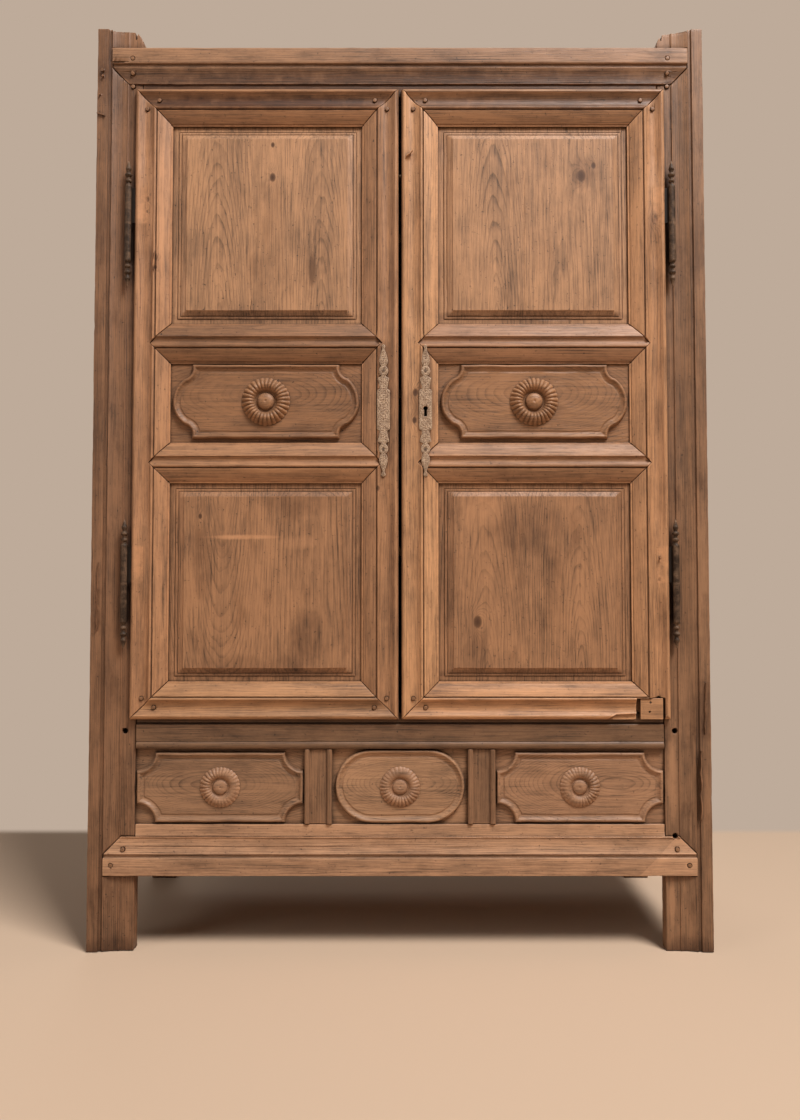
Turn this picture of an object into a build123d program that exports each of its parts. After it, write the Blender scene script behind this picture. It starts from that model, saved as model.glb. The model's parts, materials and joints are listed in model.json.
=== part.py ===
from build123d import *
import math
import os

# A two-door panelled cupboard in waxed softwood and oak: a pegged frame on four
# legs, two mitred doors with raised and carved panels, a panelled apron under
# them, a panelled carcass behind, and iron barrel hinges, lock and bolts.
#
# +X is to the viewer's right, +Z is up, and the front faces -Y. The origin is at
# floor level under the middle of the overall box. Depths (d) are measured
# backwards from the front face of the front posts. All sizes are millimetres.

# ---- Driving sizes: carcass ---------------------------------------------------
width = 1450.0                # over the outer faces of the posts
height = 2184.0               # floor to the top of the front posts
depth = 620.0                 # front of the front posts to the back of the rear posts
post_width = 108.0
post_depth = 45.0
rear_post_width = 70.0
rear_post_depth = 40.0
rail_depth = 42.0             # thickness of the front rails
post_rise = 47.0              # front posts above the top rail
rear_post_drop = 30.0         # rear posts end this far below the front ones
leg_height = 174.0            # floor to the underside of the bottom rails
top_rail_height = 117.0
bottom_rail_height = 118.0
apron_height = 174.0          # clear opening of the apron panels
waist_rail_height = 83.0

# ---- Mouldings shared by posts and outer rails ----------------------------------
post_band = 27.0              # flat outer band of a post
top_band = 39.0
bottom_band = 42.0
groove_width = 8.0
groove_depth = 5.0
groove_slope = 1.5
hollow_width = 35.0
hollow_rim = 1.5
hollow_sink = 2.0
bead_width = 5.0
strip_depth = 10.0            # recess on which the doors close
lap_depth = 14.0              # thickness of the mitred rail ends let into the posts

# ---- Doors ----------------------------------------------------------------------
door_lap = 14.0               # doors lap over the recess all round
door_gap = 6.0                # between the two doors
lap_clearance = 1.0           # door lip to recess
rebate_clearance = 3.0        # door rebate to the edges of the opening
door_proud = 8.0              # front beads of the doors ahead of the posts
door_back = 26.0              # back of the doors behind the post fronts
door_frame_width = 88.0
crossrail_width = 97.0
middle_opening = 187.0        # height of the middle panel opening
lower_opening = 465.0
panel_groove = 9.0            # depth of the panel grooves
panel_depth = 11.0            # panel grooves behind the post fronts
tongue = 7.2                  # thickness of panel edges
field_height = 8.0            # raised field in front of the panel margin
tenon_thickness = 10.0
fit = 0.1                     # joint clearance inside one assembly

# ---- Apron, sides, back -----------------------------------------------------------
muntin_width = 65.0
muntin_bead = 13.0
centre_opening = 316.0        # width of the middle apron panel opening
apron_panel_depth = 18.0
side_rail_thickness = 28.0
side_inset = 4.0              # side rails behind the outer faces of the posts
side_rail_height = 92.0
rear_rail_thickness = 30.0
rear_inset = 3.0
back_board_count = 8
board_gap = 0.8
board_thickness = 18.0
floor_drop = 4.0              # floor boards below the top of the waist rail
top_board_drop = 30.0         # top boards below the top rail
board_count = 4               # floor and top boards from front to back
shelf_count = 3
shelf_setback = 34.0          # shelf fronts behind the front posts
shelf_thickness = 22.0
cleat_width = 24.0
cleat_height = 32.0
cleat_tenon = 12.0

# ---- Hinges ---------------------------------------------------------------------
hinge_offset = 14.0           # barrel axis outside the door edge
hinge_proud = 6.0             # barrel axis ahead of the posts
barrel_radius = 8.25
half_hinge = 150.0            # joint line to the tip of a finial
finial_length = 60.0
knuckle_gap = 0.4
pin_radius = 3.0
pin_clearance = 0.05
pin_half = 62.0
leaf_thickness = 3.0
leaf_height = 84.0
leaf_reach = 30.0             # leaf inside the wood
upper_hinge_rise = 1170.0     # joint lines above the bottom edge of the doors
lower_hinge_rise = 316.0

# ---- Lock, bolts and plates -------------------------------------------------------
plate_thickness = 2.0
plate_proud = 8.5             # front of the plates ahead of the posts
left_plate_offset = 36.0      # plate centres from the meeting edges
right_plate_offset = 57.0
plate_drop = 18.5             # plate centres below the middle of the middle panels
key_radius = 5.5
key_slot_width = 7.5
key_length = 28.0             # whole keyhole
case_width = 82.0
case_height = 130.0
case_depth = 22.0
case_wall = 2.0
lock_throw = 20.0
lock_bolt_height = 22.0
lock_bolt_depth = 8.0
lock_bolt_length = 58.0
bolt_width = 16.0
bolt_thickness = 6.0
bolt_length = 220.0
bolt_throw = 26.0
slide_gap = 0.3
strap_thickness = 2.5
strap_height = 14.0
strap_foot = 14.0
nail_radius = 1.4
nail_head = 3.0

# ---- Pegs -------------------------------------------------------------------------
peg_radius = 4.5
peg_proud = 0.5
lost_peg_radius = 5.5
lost_peg_depth = 32.0

# ---- Rosettes ---------------------------------------------------------------------
door_rosette_radius = 58.0
door_rosette_height = 13.0
apron_rosette_radius = 48.0
apron_rosette_height = 10.0

# ---- Worked-out places --------------------------------------------------------------
half_width = width / 2
inner_x = half_width - post_width
top_of_rail = height - post_rise
door_opening_top = top_of_rail - top_rail_height
apron_bottom = leg_height + bottom_rail_height
apron_top = apron_bottom + apron_height
waist_top = apron_top + waist_rail_height

axis_x = inner_x + door_lap + hinge_offset
front_reach = hinge_proud + barrel_radius
front_y = -(depth + front_reach) / 2 + front_reach

door_outer = inner_x + door_lap
door_inner = door_gap / 2
door_bottom = waist_top - door_lap
door_top = door_opening_top + door_lap
lip_depth = strip_depth - lap_clearance
rebate = door_lap + rebate_clearance

sight_left = -door_outer + door_frame_width
sight_right = -door_inner - door_frame_width
lower_sight = door_bottom + door_frame_width
lower_crossrail_bottom = lower_sight + lower_opening
middle_sight = lower_crossrail_bottom + crossrail_width
upper_crossrail_bottom = middle_sight + middle_opening
upper_sight = upper_crossrail_bottom + crossrail_width
top_sight = door_top - door_frame_width

hinge_joints = [door_bottom + lower_hinge_rise, door_bottom + upper_hinge_rise]
plate_z = (middle_sight + upper_crossrail_bottom) / 2 - plate_drop
rear_post_top = height - rear_post_drop
side_face = half_width - side_inset
side_inner = side_face - side_rail_thickness
rear_front = depth - rear_post_depth
side_rail_tops = [leg_height + side_rail_height, waist_top,
                  (waist_top + top_of_rail) / 2, top_of_rail]
rear_inner_x = half_width - rear_post_width
floor_top = waist_top - floor_drop
ceiling_top = top_of_rail - top_board_drop


# ---- Small helpers ------------------------------------------------------------------
def y_at(d):
    """Y of a depth behind the post fronts."""
    return front_y + d


def block(x_span, d_span, z_span):
    """Box from its spans in x, in depth and in z."""
    spans = [x_span, (y_at(d_span[0]), y_at(d_span[1])), z_span]
    size = [high - low for low, high in spans]
    middle = [(low + high) / 2 for low, high in spans]
    return Pos(*middle) * Box(*size)


def face_of(path, place):
    """Face inside a path: a pair is a corner, a pair of pairs is an arc's middle and end."""
    edges = []
    last = path[0]
    for step in path[1:] + [path[0]]:
        end = step
        if isinstance(step[0], tuple):
            middle, end = step
            edges.append(ThreePointArc(place(*last), place(*middle), place(*end)))
        elif end != last:
            edges.append(Line(place(*last), place(*end)))
        last = end
    return make_face(edges)


def slab(path, d_span):
    """Solid whose outline is drawn in x and z, from one depth to another."""
    face = face_of(path, lambda x, z: (x, y_at(d_span[0]), z))
    return extrude(face, amount=d_span[1] - d_span[0], dir=(0, 1, 0))


def upright(section, x_edge, sense, z_span):
    """Bar along z from a section in (distance from its edge, depth)."""
    face = face_of(section, lambda a, d: (x_edge + sense * a, y_at(d), z_span[0]))
    return extrude(face, amount=z_span[1] - z_span[0], dir=(0, 0, 1))


def level(section, z_edge, sense, x_span):
    """Bar along x from a section in (distance from its edge, depth)."""
    face = face_of(section, lambda a, d: (x_span[0], y_at(d), z_edge + sense * a))
    return extrude(face, amount=x_span[1] - x_span[0], dir=(1, 0, 0))


def rod_y(x, z, d_span, radius):
    """Round rod or hole along y."""
    length = d_span[1] - d_span[0]
    middle = y_at((d_span[0] + d_span[1]) / 2)
    return Pos(x, middle, z) * Rot(90, 0, 0) * Cylinder(radius, length)


def rod_x(x_span, d, z, radius):
    """Round rod or hole along x."""
    length = x_span[1] - x_span[0]
    return Pos((x_span[0] + x_span[1]) / 2, y_at(d), z) * Rot(0, 90, 0) * Cylinder(radius, length)


def turned(profile):
    """Solid of revolution about z from a path in (radius, z)."""
    return revolve(face_of(profile, lambda r, z: (r, 0, z)), axis=Axis.Z)


def grown(span, gap):
    """Span widened by a gap at both ends."""
    return (span[0] - gap, span[1] + gap)


def around(middle, size, gap=0.0):
    """Span of a size about a middle, with a gap added at both ends."""
    return (middle - size / 2 - gap, middle + size / 2 + gap)


def flipped(shape):
    """Right-hand copy of a left-hand piece."""
    return mirror(shape, about=Plane.YZ)


def save(name, *shapes):
    """Write one node, which may be a group of separate solids."""
    solids = [solid for shape in shapes for solid in shape.solids()]
    whole = solids[0] if len(solids) == 1 else Compound(solids)
    export_step(whole, "parts/" + name + ".step")


# ---- Front frame ----------------------------------------------------------------------
def frame_section(band, strip, thickness):
    """Section of posts and outer rails: band, groove, hollow, bead and recess."""
    hollow_start = band + groove_width
    bead_start = hollow_start + hollow_width
    bead_end = bead_start + bead_width
    return [
        (0, thickness), (0, 0), (band, 0),
        (band + groove_slope, groove_depth),
        (hollow_start - groove_slope, groove_depth),
        (hollow_start, hollow_rim),
        (((hollow_start + bead_start) / 2, hollow_rim + hollow_sink), (bead_start, hollow_rim)),
        (((bead_start + bead_end) / 2, 0), (bead_end, hollow_rim)),
        (bead_end, strip_depth),
        (bead_end + strip, strip_depth),
        (bead_end + strip, thickness),
    ]


moulding_width = hollow_width + bead_width
lap_x = half_width - post_band - groove_width
bead_x = lap_x - moulding_width
post_strip = post_width - post_band - groove_width - moulding_width
top_strip = top_rail_height - top_band - groove_width - moulding_width
bottom_strip = bottom_rail_height - bottom_band - groove_width - moulding_width
rail_tenon = (18.0, 30.0)               # depth span of the front rails' tenons
rail_tenon_end = 30.0                   # keeps the mortises clear of the side joints
tenon_x = half_width - rail_tenon_end


def lap_outline(z_out, z_turn, z_bead):
    """Mitred front face of an outer rail, past the posts' inner edges."""
    return [(-lap_x, z_out), (lap_x, z_out), (lap_x, z_turn), (bead_x, z_bead),
            (-bead_x, z_bead), (-lap_x, z_turn)]


top_turn = top_of_rail - top_band - groove_width
bottom_turn = leg_height + bottom_band + groove_width
top_lap = slab(lap_outline(top_of_rail, top_turn, top_turn - moulding_width), (-1, lap_depth))
bottom_lap = slab(lap_outline(leg_height, bottom_turn, bottom_turn + moulding_width),
                  (-1, lap_depth))

tenon_margin = 12.0
apron_groove = block(grown((-inner_x, inner_x), panel_groove),
                     (apron_panel_depth, apron_panel_depth + tongue + 2 * fit),
                     grown((apron_bottom, apron_top), panel_groove))
rail_tenons = [
    (door_opening_top + tenon_margin, top_of_rail - tenon_margin),
    (apron_top + tenon_margin, waist_top - tenon_margin),
    (leg_height + tenon_margin, apron_bottom - tenon_margin),
]
top_joint = (rail_tenons[0][0] + rail_tenons[0][1]) / 2
bottom_joint = (rail_tenons[2][0] + rail_tenons[2][1]) / 2
peg_x = half_width - post_width * 0.78
front_pegs = [
    (peg_x, top_joint + 32.0), (peg_x, top_joint - 3.0), (peg_x, top_joint - 33.0),
    (peg_x + 30.0, bottom_joint - 34.0), (peg_x + 3.0, bottom_joint + 2.0),
]
lost_pegs = [(peg_x + 2.0, waist_top - waist_rail_height / 2)]
right_lost_pegs = lost_pegs + [(peg_x, apron_bottom - bottom_strip)]


def front_peg(x, z, gap=0.0):
    return rod_y(x, z, (-peg_proud, post_depth), peg_radius + gap)


def lost_peg_hole(x, z):
    return rod_y(x, z, (-1, lost_peg_depth), lost_peg_radius)


def mirrored_spots(spots):
    """The same places on the left and on the right."""
    return [(side * x, z) for x, z in spots for side in (-1, 1)]


def tenon_pair(z_span, gap=0.0):
    """Through-set tenons of a front rail, reaching into both posts."""
    return block(grown((-tenon_x, tenon_x), gap), grown(rail_tenon, gap), grown(z_span, gap))


def top_front_rail():
    section = frame_section(top_band, top_strip, rail_depth)
    rail = level(section, top_of_rail, -1, (-inner_x, inner_x))
    rail += level(section, top_of_rail, -1, (-lap_x, lap_x)) & top_lap
    rail += tenon_pair(rail_tenons[0])
    rail -= [front_peg(x, z, fit) for x, z in mirrored_spots(front_pegs[:3])]
    return rail - bolt_socket(top_bolt_span)


def bottom_front_rail():
    section = frame_section(bottom_band, bottom_strip, rail_depth)
    rail = level(section, leg_height, 1, (-inner_x, inner_x))
    rail += level(section, leg_height, 1, (-lap_x, lap_x)) & bottom_lap
    rail += tenon_pair(rail_tenons[2])
    rail -= apron_groove
    rail -= [front_peg(x, z, fit) for x, z in mirrored_spots(front_pegs[3:])]
    rail -= [lost_peg_hole(x, z) for x, z in right_lost_pegs[1:]]
    return rail - muntin_tenons(fit)


waist_bead = 17.0
waist_bead_rim = 6.0
waist_bead_top = 2.0
waist_flat = 5.0
waist_quirk = 3.0


def waist_rail():
    flat_end = waist_rail_height - door_lap - 2 * waist_quirk - bead_width
    section = [
        (0, rail_depth), (0, waist_bead_rim),
        ((waist_bead / 2, waist_bead_top), (waist_bead, waist_bead_rim)),
        (waist_bead, waist_flat), (flat_end, waist_flat),
        (flat_end, strip_depth + waist_quirk), (flat_end + waist_quirk, strip_depth + waist_quirk),
        (flat_end + waist_quirk, strip_depth), (waist_rail_height, strip_depth),
        (waist_rail_height, rail_depth),
    ]
    rail = level(section, apron_top, 1, (-inner_x, inner_x))
    rail += tenon_pair(rail_tenons[1])
    rail -= apron_groove
    rail -= [lost_peg_hole(x, z) for x, z in mirrored_spots(lost_pegs)]
    return rail - muntin_tenons(fit) - bolt_socket(bottom_bolt_span)


# ---- Posts ------------------------------------------------------------------------------
post_step = 8.0               # inner part of a post below its outer band
post_round = 24.0
side_tenon = 32.0             # side rail tenons into the posts
side_tenon_thickness = 10.0
side_groove = 10.0
side_panel_inset = 9.0        # panel grooves inside the side rails' faces
side_peg_set = 16.0           # pegs in from the shoulder of a side joint
side_tenon_x = around(side_face - side_rail_thickness / 2, side_tenon_thickness)
side_groove_x = (side_face - side_panel_inset - tongue - 2 * fit, side_face - side_panel_inset)


def side_rail_span(top):
    return (top - side_rail_height, top)


def side_tenon_block(top, gap=0.0):
    """Tenons of one left side rail, front and back."""
    low, high = side_rail_span(top)
    x_span = (-side_tenon_x[1], -side_tenon_x[0])
    d_span = (post_depth - side_tenon, rear_front + side_tenon)
    return block(grown(x_span, gap), grown(d_span, gap),
                 grown((low + tenon_margin, high - tenon_margin), gap))


def side_pegs(gap=0.0):
    """Pegs of the left side joints, driven in from outside."""
    pegs = []
    for top in side_rail_tops:
        for d in (post_depth - side_peg_set, rear_front + side_peg_set):
            for z in (top - side_rail_height * 0.3, top - side_rail_height * 0.7):
                x_span = (-half_width - gap, -side_tenon_x[0] + gap)
                pegs.append(rod_x(x_span, d, z, peg_radius + gap))
    return pegs


def side_panel_groove():
    """Groove for the left side panels, in both posts."""
    return block((-side_groove_x[1], -side_groove_x[0]),
                 (post_depth - side_groove, rear_front + side_groove),
                 grown((side_rail_tops[0], side_rail_tops[3] - side_rail_height), side_groove))


def front_post():
    """Left front post with all its joints, before its peg holes."""
    section = frame_section(post_band, post_strip, post_depth)
    post = upright(section, -half_width, 1, (0, height))
    step_x = -half_width + post_band + groove_width
    step_z = height - post_step
    post -= slab([(step_x, height + 1), (step_x, step_z), (-inner_x - post_round, step_z),
                  ((-inner_x - post_round * 0.29, step_z - post_round * 0.29),
                   (-inner_x, step_z - post_round)),
                  (-inner_x + 1, step_z - post_round), (-inner_x + 1, height + 1)],
                 (-1, post_depth + 1))
    post -= [top_lap, bottom_lap, apron_groove, side_panel_groove()]
    post -= [tenon_pair(span, fit) for span in rail_tenons]
    post -= [side_tenon_block(top, fit) for top in side_rail_tops]
    post -= [post_leaf(z, fit) for z in hinge_joints]
    post -= [cleat(z, fit) for z in cleat_tops]
    post -= side_pegs(fit)
    return post - [front_peg(-x, z, fit) for x, z in front_pegs]


def rear_post():
    """Left rear post with its joints."""
    post = block((-half_width, -rear_inner_x), (rear_front, depth), (0, rear_post_top))
    post -= [side_panel_groove(), rear_groove()]
    post -= [side_tenon_block(top, fit) for top in side_rail_tops]
    post -= [rear_tenons(top, fit) for top in side_rail_tops]
    post -= [cleat(z, fit) for z in cleat_tops]
    post -= side_pegs(fit)
    return post - [rod_y(-x, z, rear_peg_span, peg_radius + fit) for x, z in rear_pegs]


# ---- Sides and back ------------------------------------------------------------------------
def raised_panel(panel_width, panel_height, edge, step_edge, rise):
    """Panel facing -Y about its centre: tongue, sloping margin, step and raised field."""
    def rim(inset, y):
        x = panel_width / 2 - inset
        z = panel_height / 2 - inset
        return Wire.make_polygon([(-x, y, -z), (x, y, -z), (x, y, z), (-x, y, z)], close=True)

    layers = [(edge, 0), (step_edge - rise, -rise * 0.4), (step_edge - rise * 0.8, -rise * 0.75),
              (step_edge, -rise)]
    panel = Pos(0, tongue / 2, 0) * Box(panel_width, tongue, panel_height)
    for (inset, y), (next_inset, next_y) in zip(layers, layers[1:]):
        panel += Solid.make_loft([rim(inset, y), rim(next_inset, next_y)], ruled=True)
    return panel


side_panel_play = 1.0
side_margin = 40.0


def left_side_rails():
    rails = []
    for number, top in enumerate(side_rail_tops):
        rail = block((-side_face, -side_inner), (post_depth, rear_front), side_rail_span(top))
        rail += side_tenon_block(top)
        groove_x = (-side_groove_x[1], -side_groove_x[0])
        low, high = side_rail_span(top)
        if number > 0:
            rail -= block(groove_x, (post_depth, rear_front), (low - 1, low + side_groove))
        if number < len(side_rail_tops) - 1:
            rail -= block(groove_x, (post_depth, rear_front), (high - side_groove, high + 1))
        rails.append(rail - side_pegs(fit) - [cleat(z, fit) for z in cleat_tops])
    return rails


def left_side_panels():
    panels = []
    span = rear_front - post_depth + 2 * (side_groove - side_panel_play)
    middle_y = y_at((rear_front + post_depth) / 2)
    for below, above in zip(side_rail_tops, side_rail_tops[1:]):
        opening = above - side_rail_height - below
        high = opening + 2 * (side_groove - side_panel_play)
        panel = raised_panel(span, high, side_groove, side_margin, field_height)
        middle_z = below + opening / 2
        x = -side_groove_x[1] + fit
        panels.append(Pos(x, middle_y, middle_z) * Rot(0, 0, -90) * panel)
    return panels


rear_rail_d = (depth - rear_inset - rear_rail_thickness, depth - rear_inset)
rear_tenon_length = 40.0
rear_tenon_d = around(sum(rear_rail_d) / 2, tenon_thickness)
rear_pegs = [(rear_inner_x + rear_tenon_length / 2, top - side_rail_height / 2)
             for top in side_rail_tops]
rear_peg_span = (rear_tenon_d[0] - 4.0, depth)
back_thickness = 12.0
back_d = (rear_tenon_d[0] - 1.0, rear_tenon_d[0] - 1.0 + back_thickness)


def rear_tenons(top, gap=0.0):
    low, high = side_rail_span(top)
    reach = rear_inner_x + rear_tenon_length
    return block(grown((-reach, reach), gap), grown(rear_tenon_d, gap),
                 grown((low + tenon_margin, high - tenon_margin), gap))


def rear_groove():
    """Groove for the back boards, in the rear posts and rails."""
    reach = rear_inner_x + panel_groove
    return block((-reach, reach), grown(back_d, fit),
                 grown((side_rail_tops[0], side_rail_tops[3] - side_rail_height), panel_groove))


def rear_rails():
    rails = []
    for number, top in enumerate(side_rail_tops):
        low, high = side_rail_span(top)
        rail = block((-rear_inner_x, rear_inner_x), rear_rail_d, (low, high))
        rail += rear_tenons(top)
        if number > 0:
            rail -= block((-rear_inner_x, rear_inner_x), grown(back_d, fit),
                          (low - 1, low + panel_groove))
        if number < len(side_rail_tops) - 1:
            rail -= block((-rear_inner_x, rear_inner_x), grown(back_d, fit),
                          (high - panel_groove, high + 1))
        rails.append(rail - [rod_y(x, z, rear_peg_span, peg_radius + fit)
                             for x, z in mirrored_spots(rear_pegs)])
    return rails


def back_boards():
    boards = []
    reach = rear_inner_x + panel_groove - side_panel_play
    pitch = 2 * reach / back_board_count
    for below, above in zip(side_rail_tops, side_rail_tops[1:]):
        z_span = grown((below, above - side_rail_height), panel_groove - side_panel_play)
        for number in range(back_board_count):
            start = -reach + number * pitch
            boards.append(block(grown((start, start + pitch), -board_gap / 2), back_d, z_span))
    return boards


# ---- Inside: floor, ceiling and shelves ------------------------------------------------------
shelf_pitch = (ceiling_top - board_thickness - floor_top) / (shelf_count + 1)
shelf_tops = [floor_top + (number + 1) * shelf_pitch + shelf_thickness / 2
              for number in range(shelf_count)]
cleat_tops = [floor_top - board_thickness] + [top - shelf_thickness for top in shelf_tops]
cleat_tops.append(ceiling_top - board_thickness)
board_reach = side_inner - 2.0
board_d = (post_depth + 1.0, rear_front - 1.0)


def cleat(top, gap=0.0):
    """Left bearer of a shelf or board row, tenoned into both left posts."""
    x_span = (-side_inner, -side_inner + cleat_width)
    bearer = block(x_span, (post_depth, rear_front), (top - cleat_height, top))
    ends = (post_depth - cleat_tenon - gap, rear_front + cleat_tenon + gap)
    bearer += block(grown(grown(x_span, -4.0), gap), ends,
                    grown((top - cleat_height + 5.0, top - 5.0), gap))
    return bearer


def board_layer(top, thickness, d_span, count):
    """Boards side by side from front to back, running from side to side."""
    pitch = (d_span[1] - d_span[0]) / count
    starts = [d_span[0] + number * pitch for number in range(count)]
    return [block((-board_reach, board_reach), grown((start, start + pitch), -board_gap / 2),
                  (top - thickness, top)) for start in starts]


def shelves():
    d_span = (post_depth + shelf_setback, board_d[1])
    return [board for top in shelf_tops for board in board_layer(top, shelf_thickness, d_span, 2)]


# ---- Apron -------------------------------------------------------------------------------------
muntin_x = (centre_opening + muntin_width) / 2
muntin_rim = 8.0
muntin_bead_top = 5.0
muntin_face = 10.5
muntin_back = 34.0
muntin_tenon = 15.0
muntin_tenon_width = 44.0


def muntin_tenons(gap=0.0):
    return [block(grown((x - muntin_tenon_width / 2, x + muntin_tenon_width / 2), gap),
                  grown((apron_panel_depth - 3.0, apron_panel_depth + tongue + 3.0), gap),
                  grown((apron_bottom - muntin_tenon, apron_top + muntin_tenon), gap))
            for x in (-muntin_x, muntin_x)]


def apron_muntins():
    far = muntin_width
    section = [
        (0, muntin_back), (0, muntin_rim),
        ((muntin_bead / 2, muntin_bead_top), (muntin_bead, muntin_rim)),
        (muntin_bead, muntin_face), (far - muntin_bead, muntin_face),
        (far - muntin_bead, muntin_rim),
        ((far - muntin_bead / 2, muntin_bead_top), (far, muntin_rim)),
        (far, muntin_back),
    ]
    muntins = []
    for x, stub in zip((-muntin_x, muntin_x), muntin_tenons()):
        bar = upright(section, x - muntin_width / 2, 1, (apron_bottom, apron_top))
        bar -= [block((edge - panel_groove, edge + panel_groove),
                      (apron_panel_depth, apron_panel_depth + tongue + 2 * fit),
                      (apron_bottom, apron_top))
                for edge in (x - muntin_width / 2, x + muntin_width / 2)]
        muntins.append(bar + stub)
    return muntins


ground_relief = 10.0          # carved borders ahead of the apron panels' ground
field_relief = 5.5
border = 17.0
apron_scoop = 43.0
apron_side_inset = 3.0
apron_end_inset = 7.0


def scooped(x_span, z_span, radius, inset):
    """Rectangle with quarter circles scooped out of its corners, drawn inside by an inset."""
    x0, x1 = x_span
    z0, z1 = z_span
    reach = radius + inset
    along = math.sqrt(reach ** 2 - inset ** 2)
    bow = reach * math.sqrt(0.5)
    return [
        (x0 + along, z0 + inset), (x1 - along, z0 + inset),
        ((x1 - bow, z0 + bow), (x1 - inset, z0 + along)), (x1 - inset, z1 - along),
        ((x1 - bow, z1 - bow), (x1 - along, z1 - inset)), (x0 + along, z1 - inset),
        ((x0 + bow, z1 - bow), (x0 + inset, z1 - along)), (x0 + inset, z0 + along),
        ((x0 + bow, z0 + bow), (x0 + along, z0 + inset)),
    ]


def rounded_ends(x_span, z_span, inset):
    """Oblong with half-round ends, drawn inside by an inset."""
    x0, x1 = grown(x_span, -inset)
    z0, z1 = grown(z_span, -inset)
    radius = (z1 - z0) / 2
    middle = (z0 + z1) / 2
    return [(x0 + radius, z0), (x1 - radius, z0), ((x1, middle), (x1 - radius, z1)),
            (x0 + radius, z1), ((x0, middle), (x0 + radius, z0))]


def carved_panel(x_span, z_span, front_d, play, outline, border_relief, middle_relief):
    """Flat panel carrying a raised border with a lower field inside it."""
    panel = block(grown(x_span, panel_groove - play), (front_d + fit, front_d + fit + tongue),
                  grown(z_span, panel_groove - play))
    panel += slab(outline(0), (front_d - border_relief, front_d + fit))
    return panel - slab(outline(border), (front_d - border_relief - 1, front_d - middle_relief))


side_opening = (-inner_x, -muntin_x - muntin_width / 2)
centre_span = (-centre_opening / 2, centre_opening / 2)
apron_span = (apron_bottom, apron_top)
apron_cartouche_z = (apron_bottom + 4.0, apron_top - 9.0)
panel_play = 1.5


def apron_left_panel():
    spread = grown(side_opening, -apron_side_inset)
    return carved_panel(side_opening, apron_span, apron_panel_depth, panel_play,
                        lambda inset: scooped(spread, apron_cartouche_z, apron_scoop, inset),
                        ground_relief, field_relief)


def apron_centre_panel():
    spread = grown(centre_span, -apron_end_inset)
    return carved_panel(centre_span, apron_span, apron_panel_depth, panel_play,
                        lambda inset: rounded_ends(spread, grown(apron_span, -3.0), inset),
                        ground_relief, field_relief)


def rosette(radius, high):
    """Ring of rounded section round a domed boss, standing on z = 0."""
    valley = radius * 0.52
    boss = radius * 0.38
    floor = high * 0.25
    rise = high - floor
    ball = (boss ** 2 + rise ** 2) / (2 * rise)
    half_angle = math.asin(boss / ball) / 2
    shoulder = (ball * math.sin(half_angle), high - ball + ball * math.cos(half_angle))
    return turned([
        (0, 0), (radius, 0), (radius, high * 0.2),
        ((radius * 0.77, high * 0.92), (valley, floor)), (boss, floor), (shoulder, (0, high)),
    ])


def placed_rosette(radius, high, x, z, back_d):
    return Pos(x, y_at(back_d), z) * Rot(90, 0, 0) * rosette(radius, high)


def apron_rosettes():
    x = (side_opening[0] + side_opening[1]) / 2
    z = (apron_cartouche_z[0] + apron_cartouche_z[1]) / 2
    back = apron_panel_depth - field_relief
    return [placed_rosette(apron_rosette_radius, apron_rosette_height, spot, z, back)
            for spot in (x, 0, -x)]


# ---- Door frames -----------------------------------------------------------------------------
nose = 10.0                   # rounded outer edge
nose_back = 2.0
cove_sink = 4.2
bead_start = 44.0             # bead from the outer edge of a stile
bead_span = 7.0
bead_drop = 2.2
quirk = 2.0
lip = 5.0
lip_step = 1.8
slope_end_depth = 0.5


def inner_moulding(edge, sense):
    """Quirk, slope and lip from a bead at the given distance, towards a panel."""
    rim = -door_proud + bead_drop
    slope_start = edge + sense * 2.5
    slope_end = edge + sense * (door_frame_width - bead_start - bead_span - lip)
    middle = (slope_start + slope_end) / 2
    far = slope_end + sense * lip
    return [
        (edge, rim), (edge + sense * 0.5, rim + quirk), (slope_start, rim + quirk),
        (slope_start, rim - 1.0), ((middle, -door_proud * 0.5), (slope_end, slope_end_depth)),
        (slope_end, slope_end_depth + lip_step), (far, slope_end_depth + lip_step),
    ]


def stile_section(back_edge):
    """Section of stiles and outer rails from the outer edge to the panel, its back set in."""
    bead_end = bead_start + bead_span
    rim = -door_proud + bead_drop
    section = [
        (0, lip_depth), (0, nose_back),
        ((nose * 0.29, -door_proud + nose * 0.29), (nose, -door_proud)),
        (((nose + bead_start) / 2, -door_proud + cove_sink), (bead_start, rim)),
        ((bead_start + bead_span / 2, -door_proud), (bead_end, rim)),
    ]
    section += inner_moulding(bead_end, 1)[1:]
    section.append((door_frame_width, door_back))
    if back_edge == 0:
        return section + [(0, door_back)]
    return section + [(back_edge, door_back), (back_edge, lip_depth)]


def crossrail_section():
    """Section of a crossrail from its bottom edge up."""
    bead_edge = door_frame_width - bead_start - bead_span
    rim = -door_proud + bead_drop
    upper_start = crossrail_width - bead_edge
    section = [(0, door_back), (0, slope_end_depth + lip_step), (lip, slope_end_depth + lip_step),
               (lip, slope_end_depth),
               ((bead_edge / 2 + 1.0, -door_proud * 0.5), (bead_edge - 2.5, rim - 1.0)),
               (bead_edge - 2.5, rim + quirk), (bead_edge - 0.5, rim + quirk), (bead_edge, rim),
               ((bead_edge + bead_span / 2, -door_proud), (bead_edge + bead_span, rim))]
    hollow_end = upper_start + 3.0
    section += [((bead_edge + bead_span + (hollow_end - bead_edge - bead_span) / 2,
                  -door_proud + cove_sink), (hollow_end, rim + 0.8)),
                (hollow_end, rim - 1.0),
                (((hollow_end + crossrail_width - lip) / 2, -door_proud * 0.5),
                 (crossrail_width - lip, slope_end_depth)),
                (crossrail_width - lip, slope_end_depth + lip_step),
                (crossrail_width, slope_end_depth + lip_step), (crossrail_width, door_back)]
    return section


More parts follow.
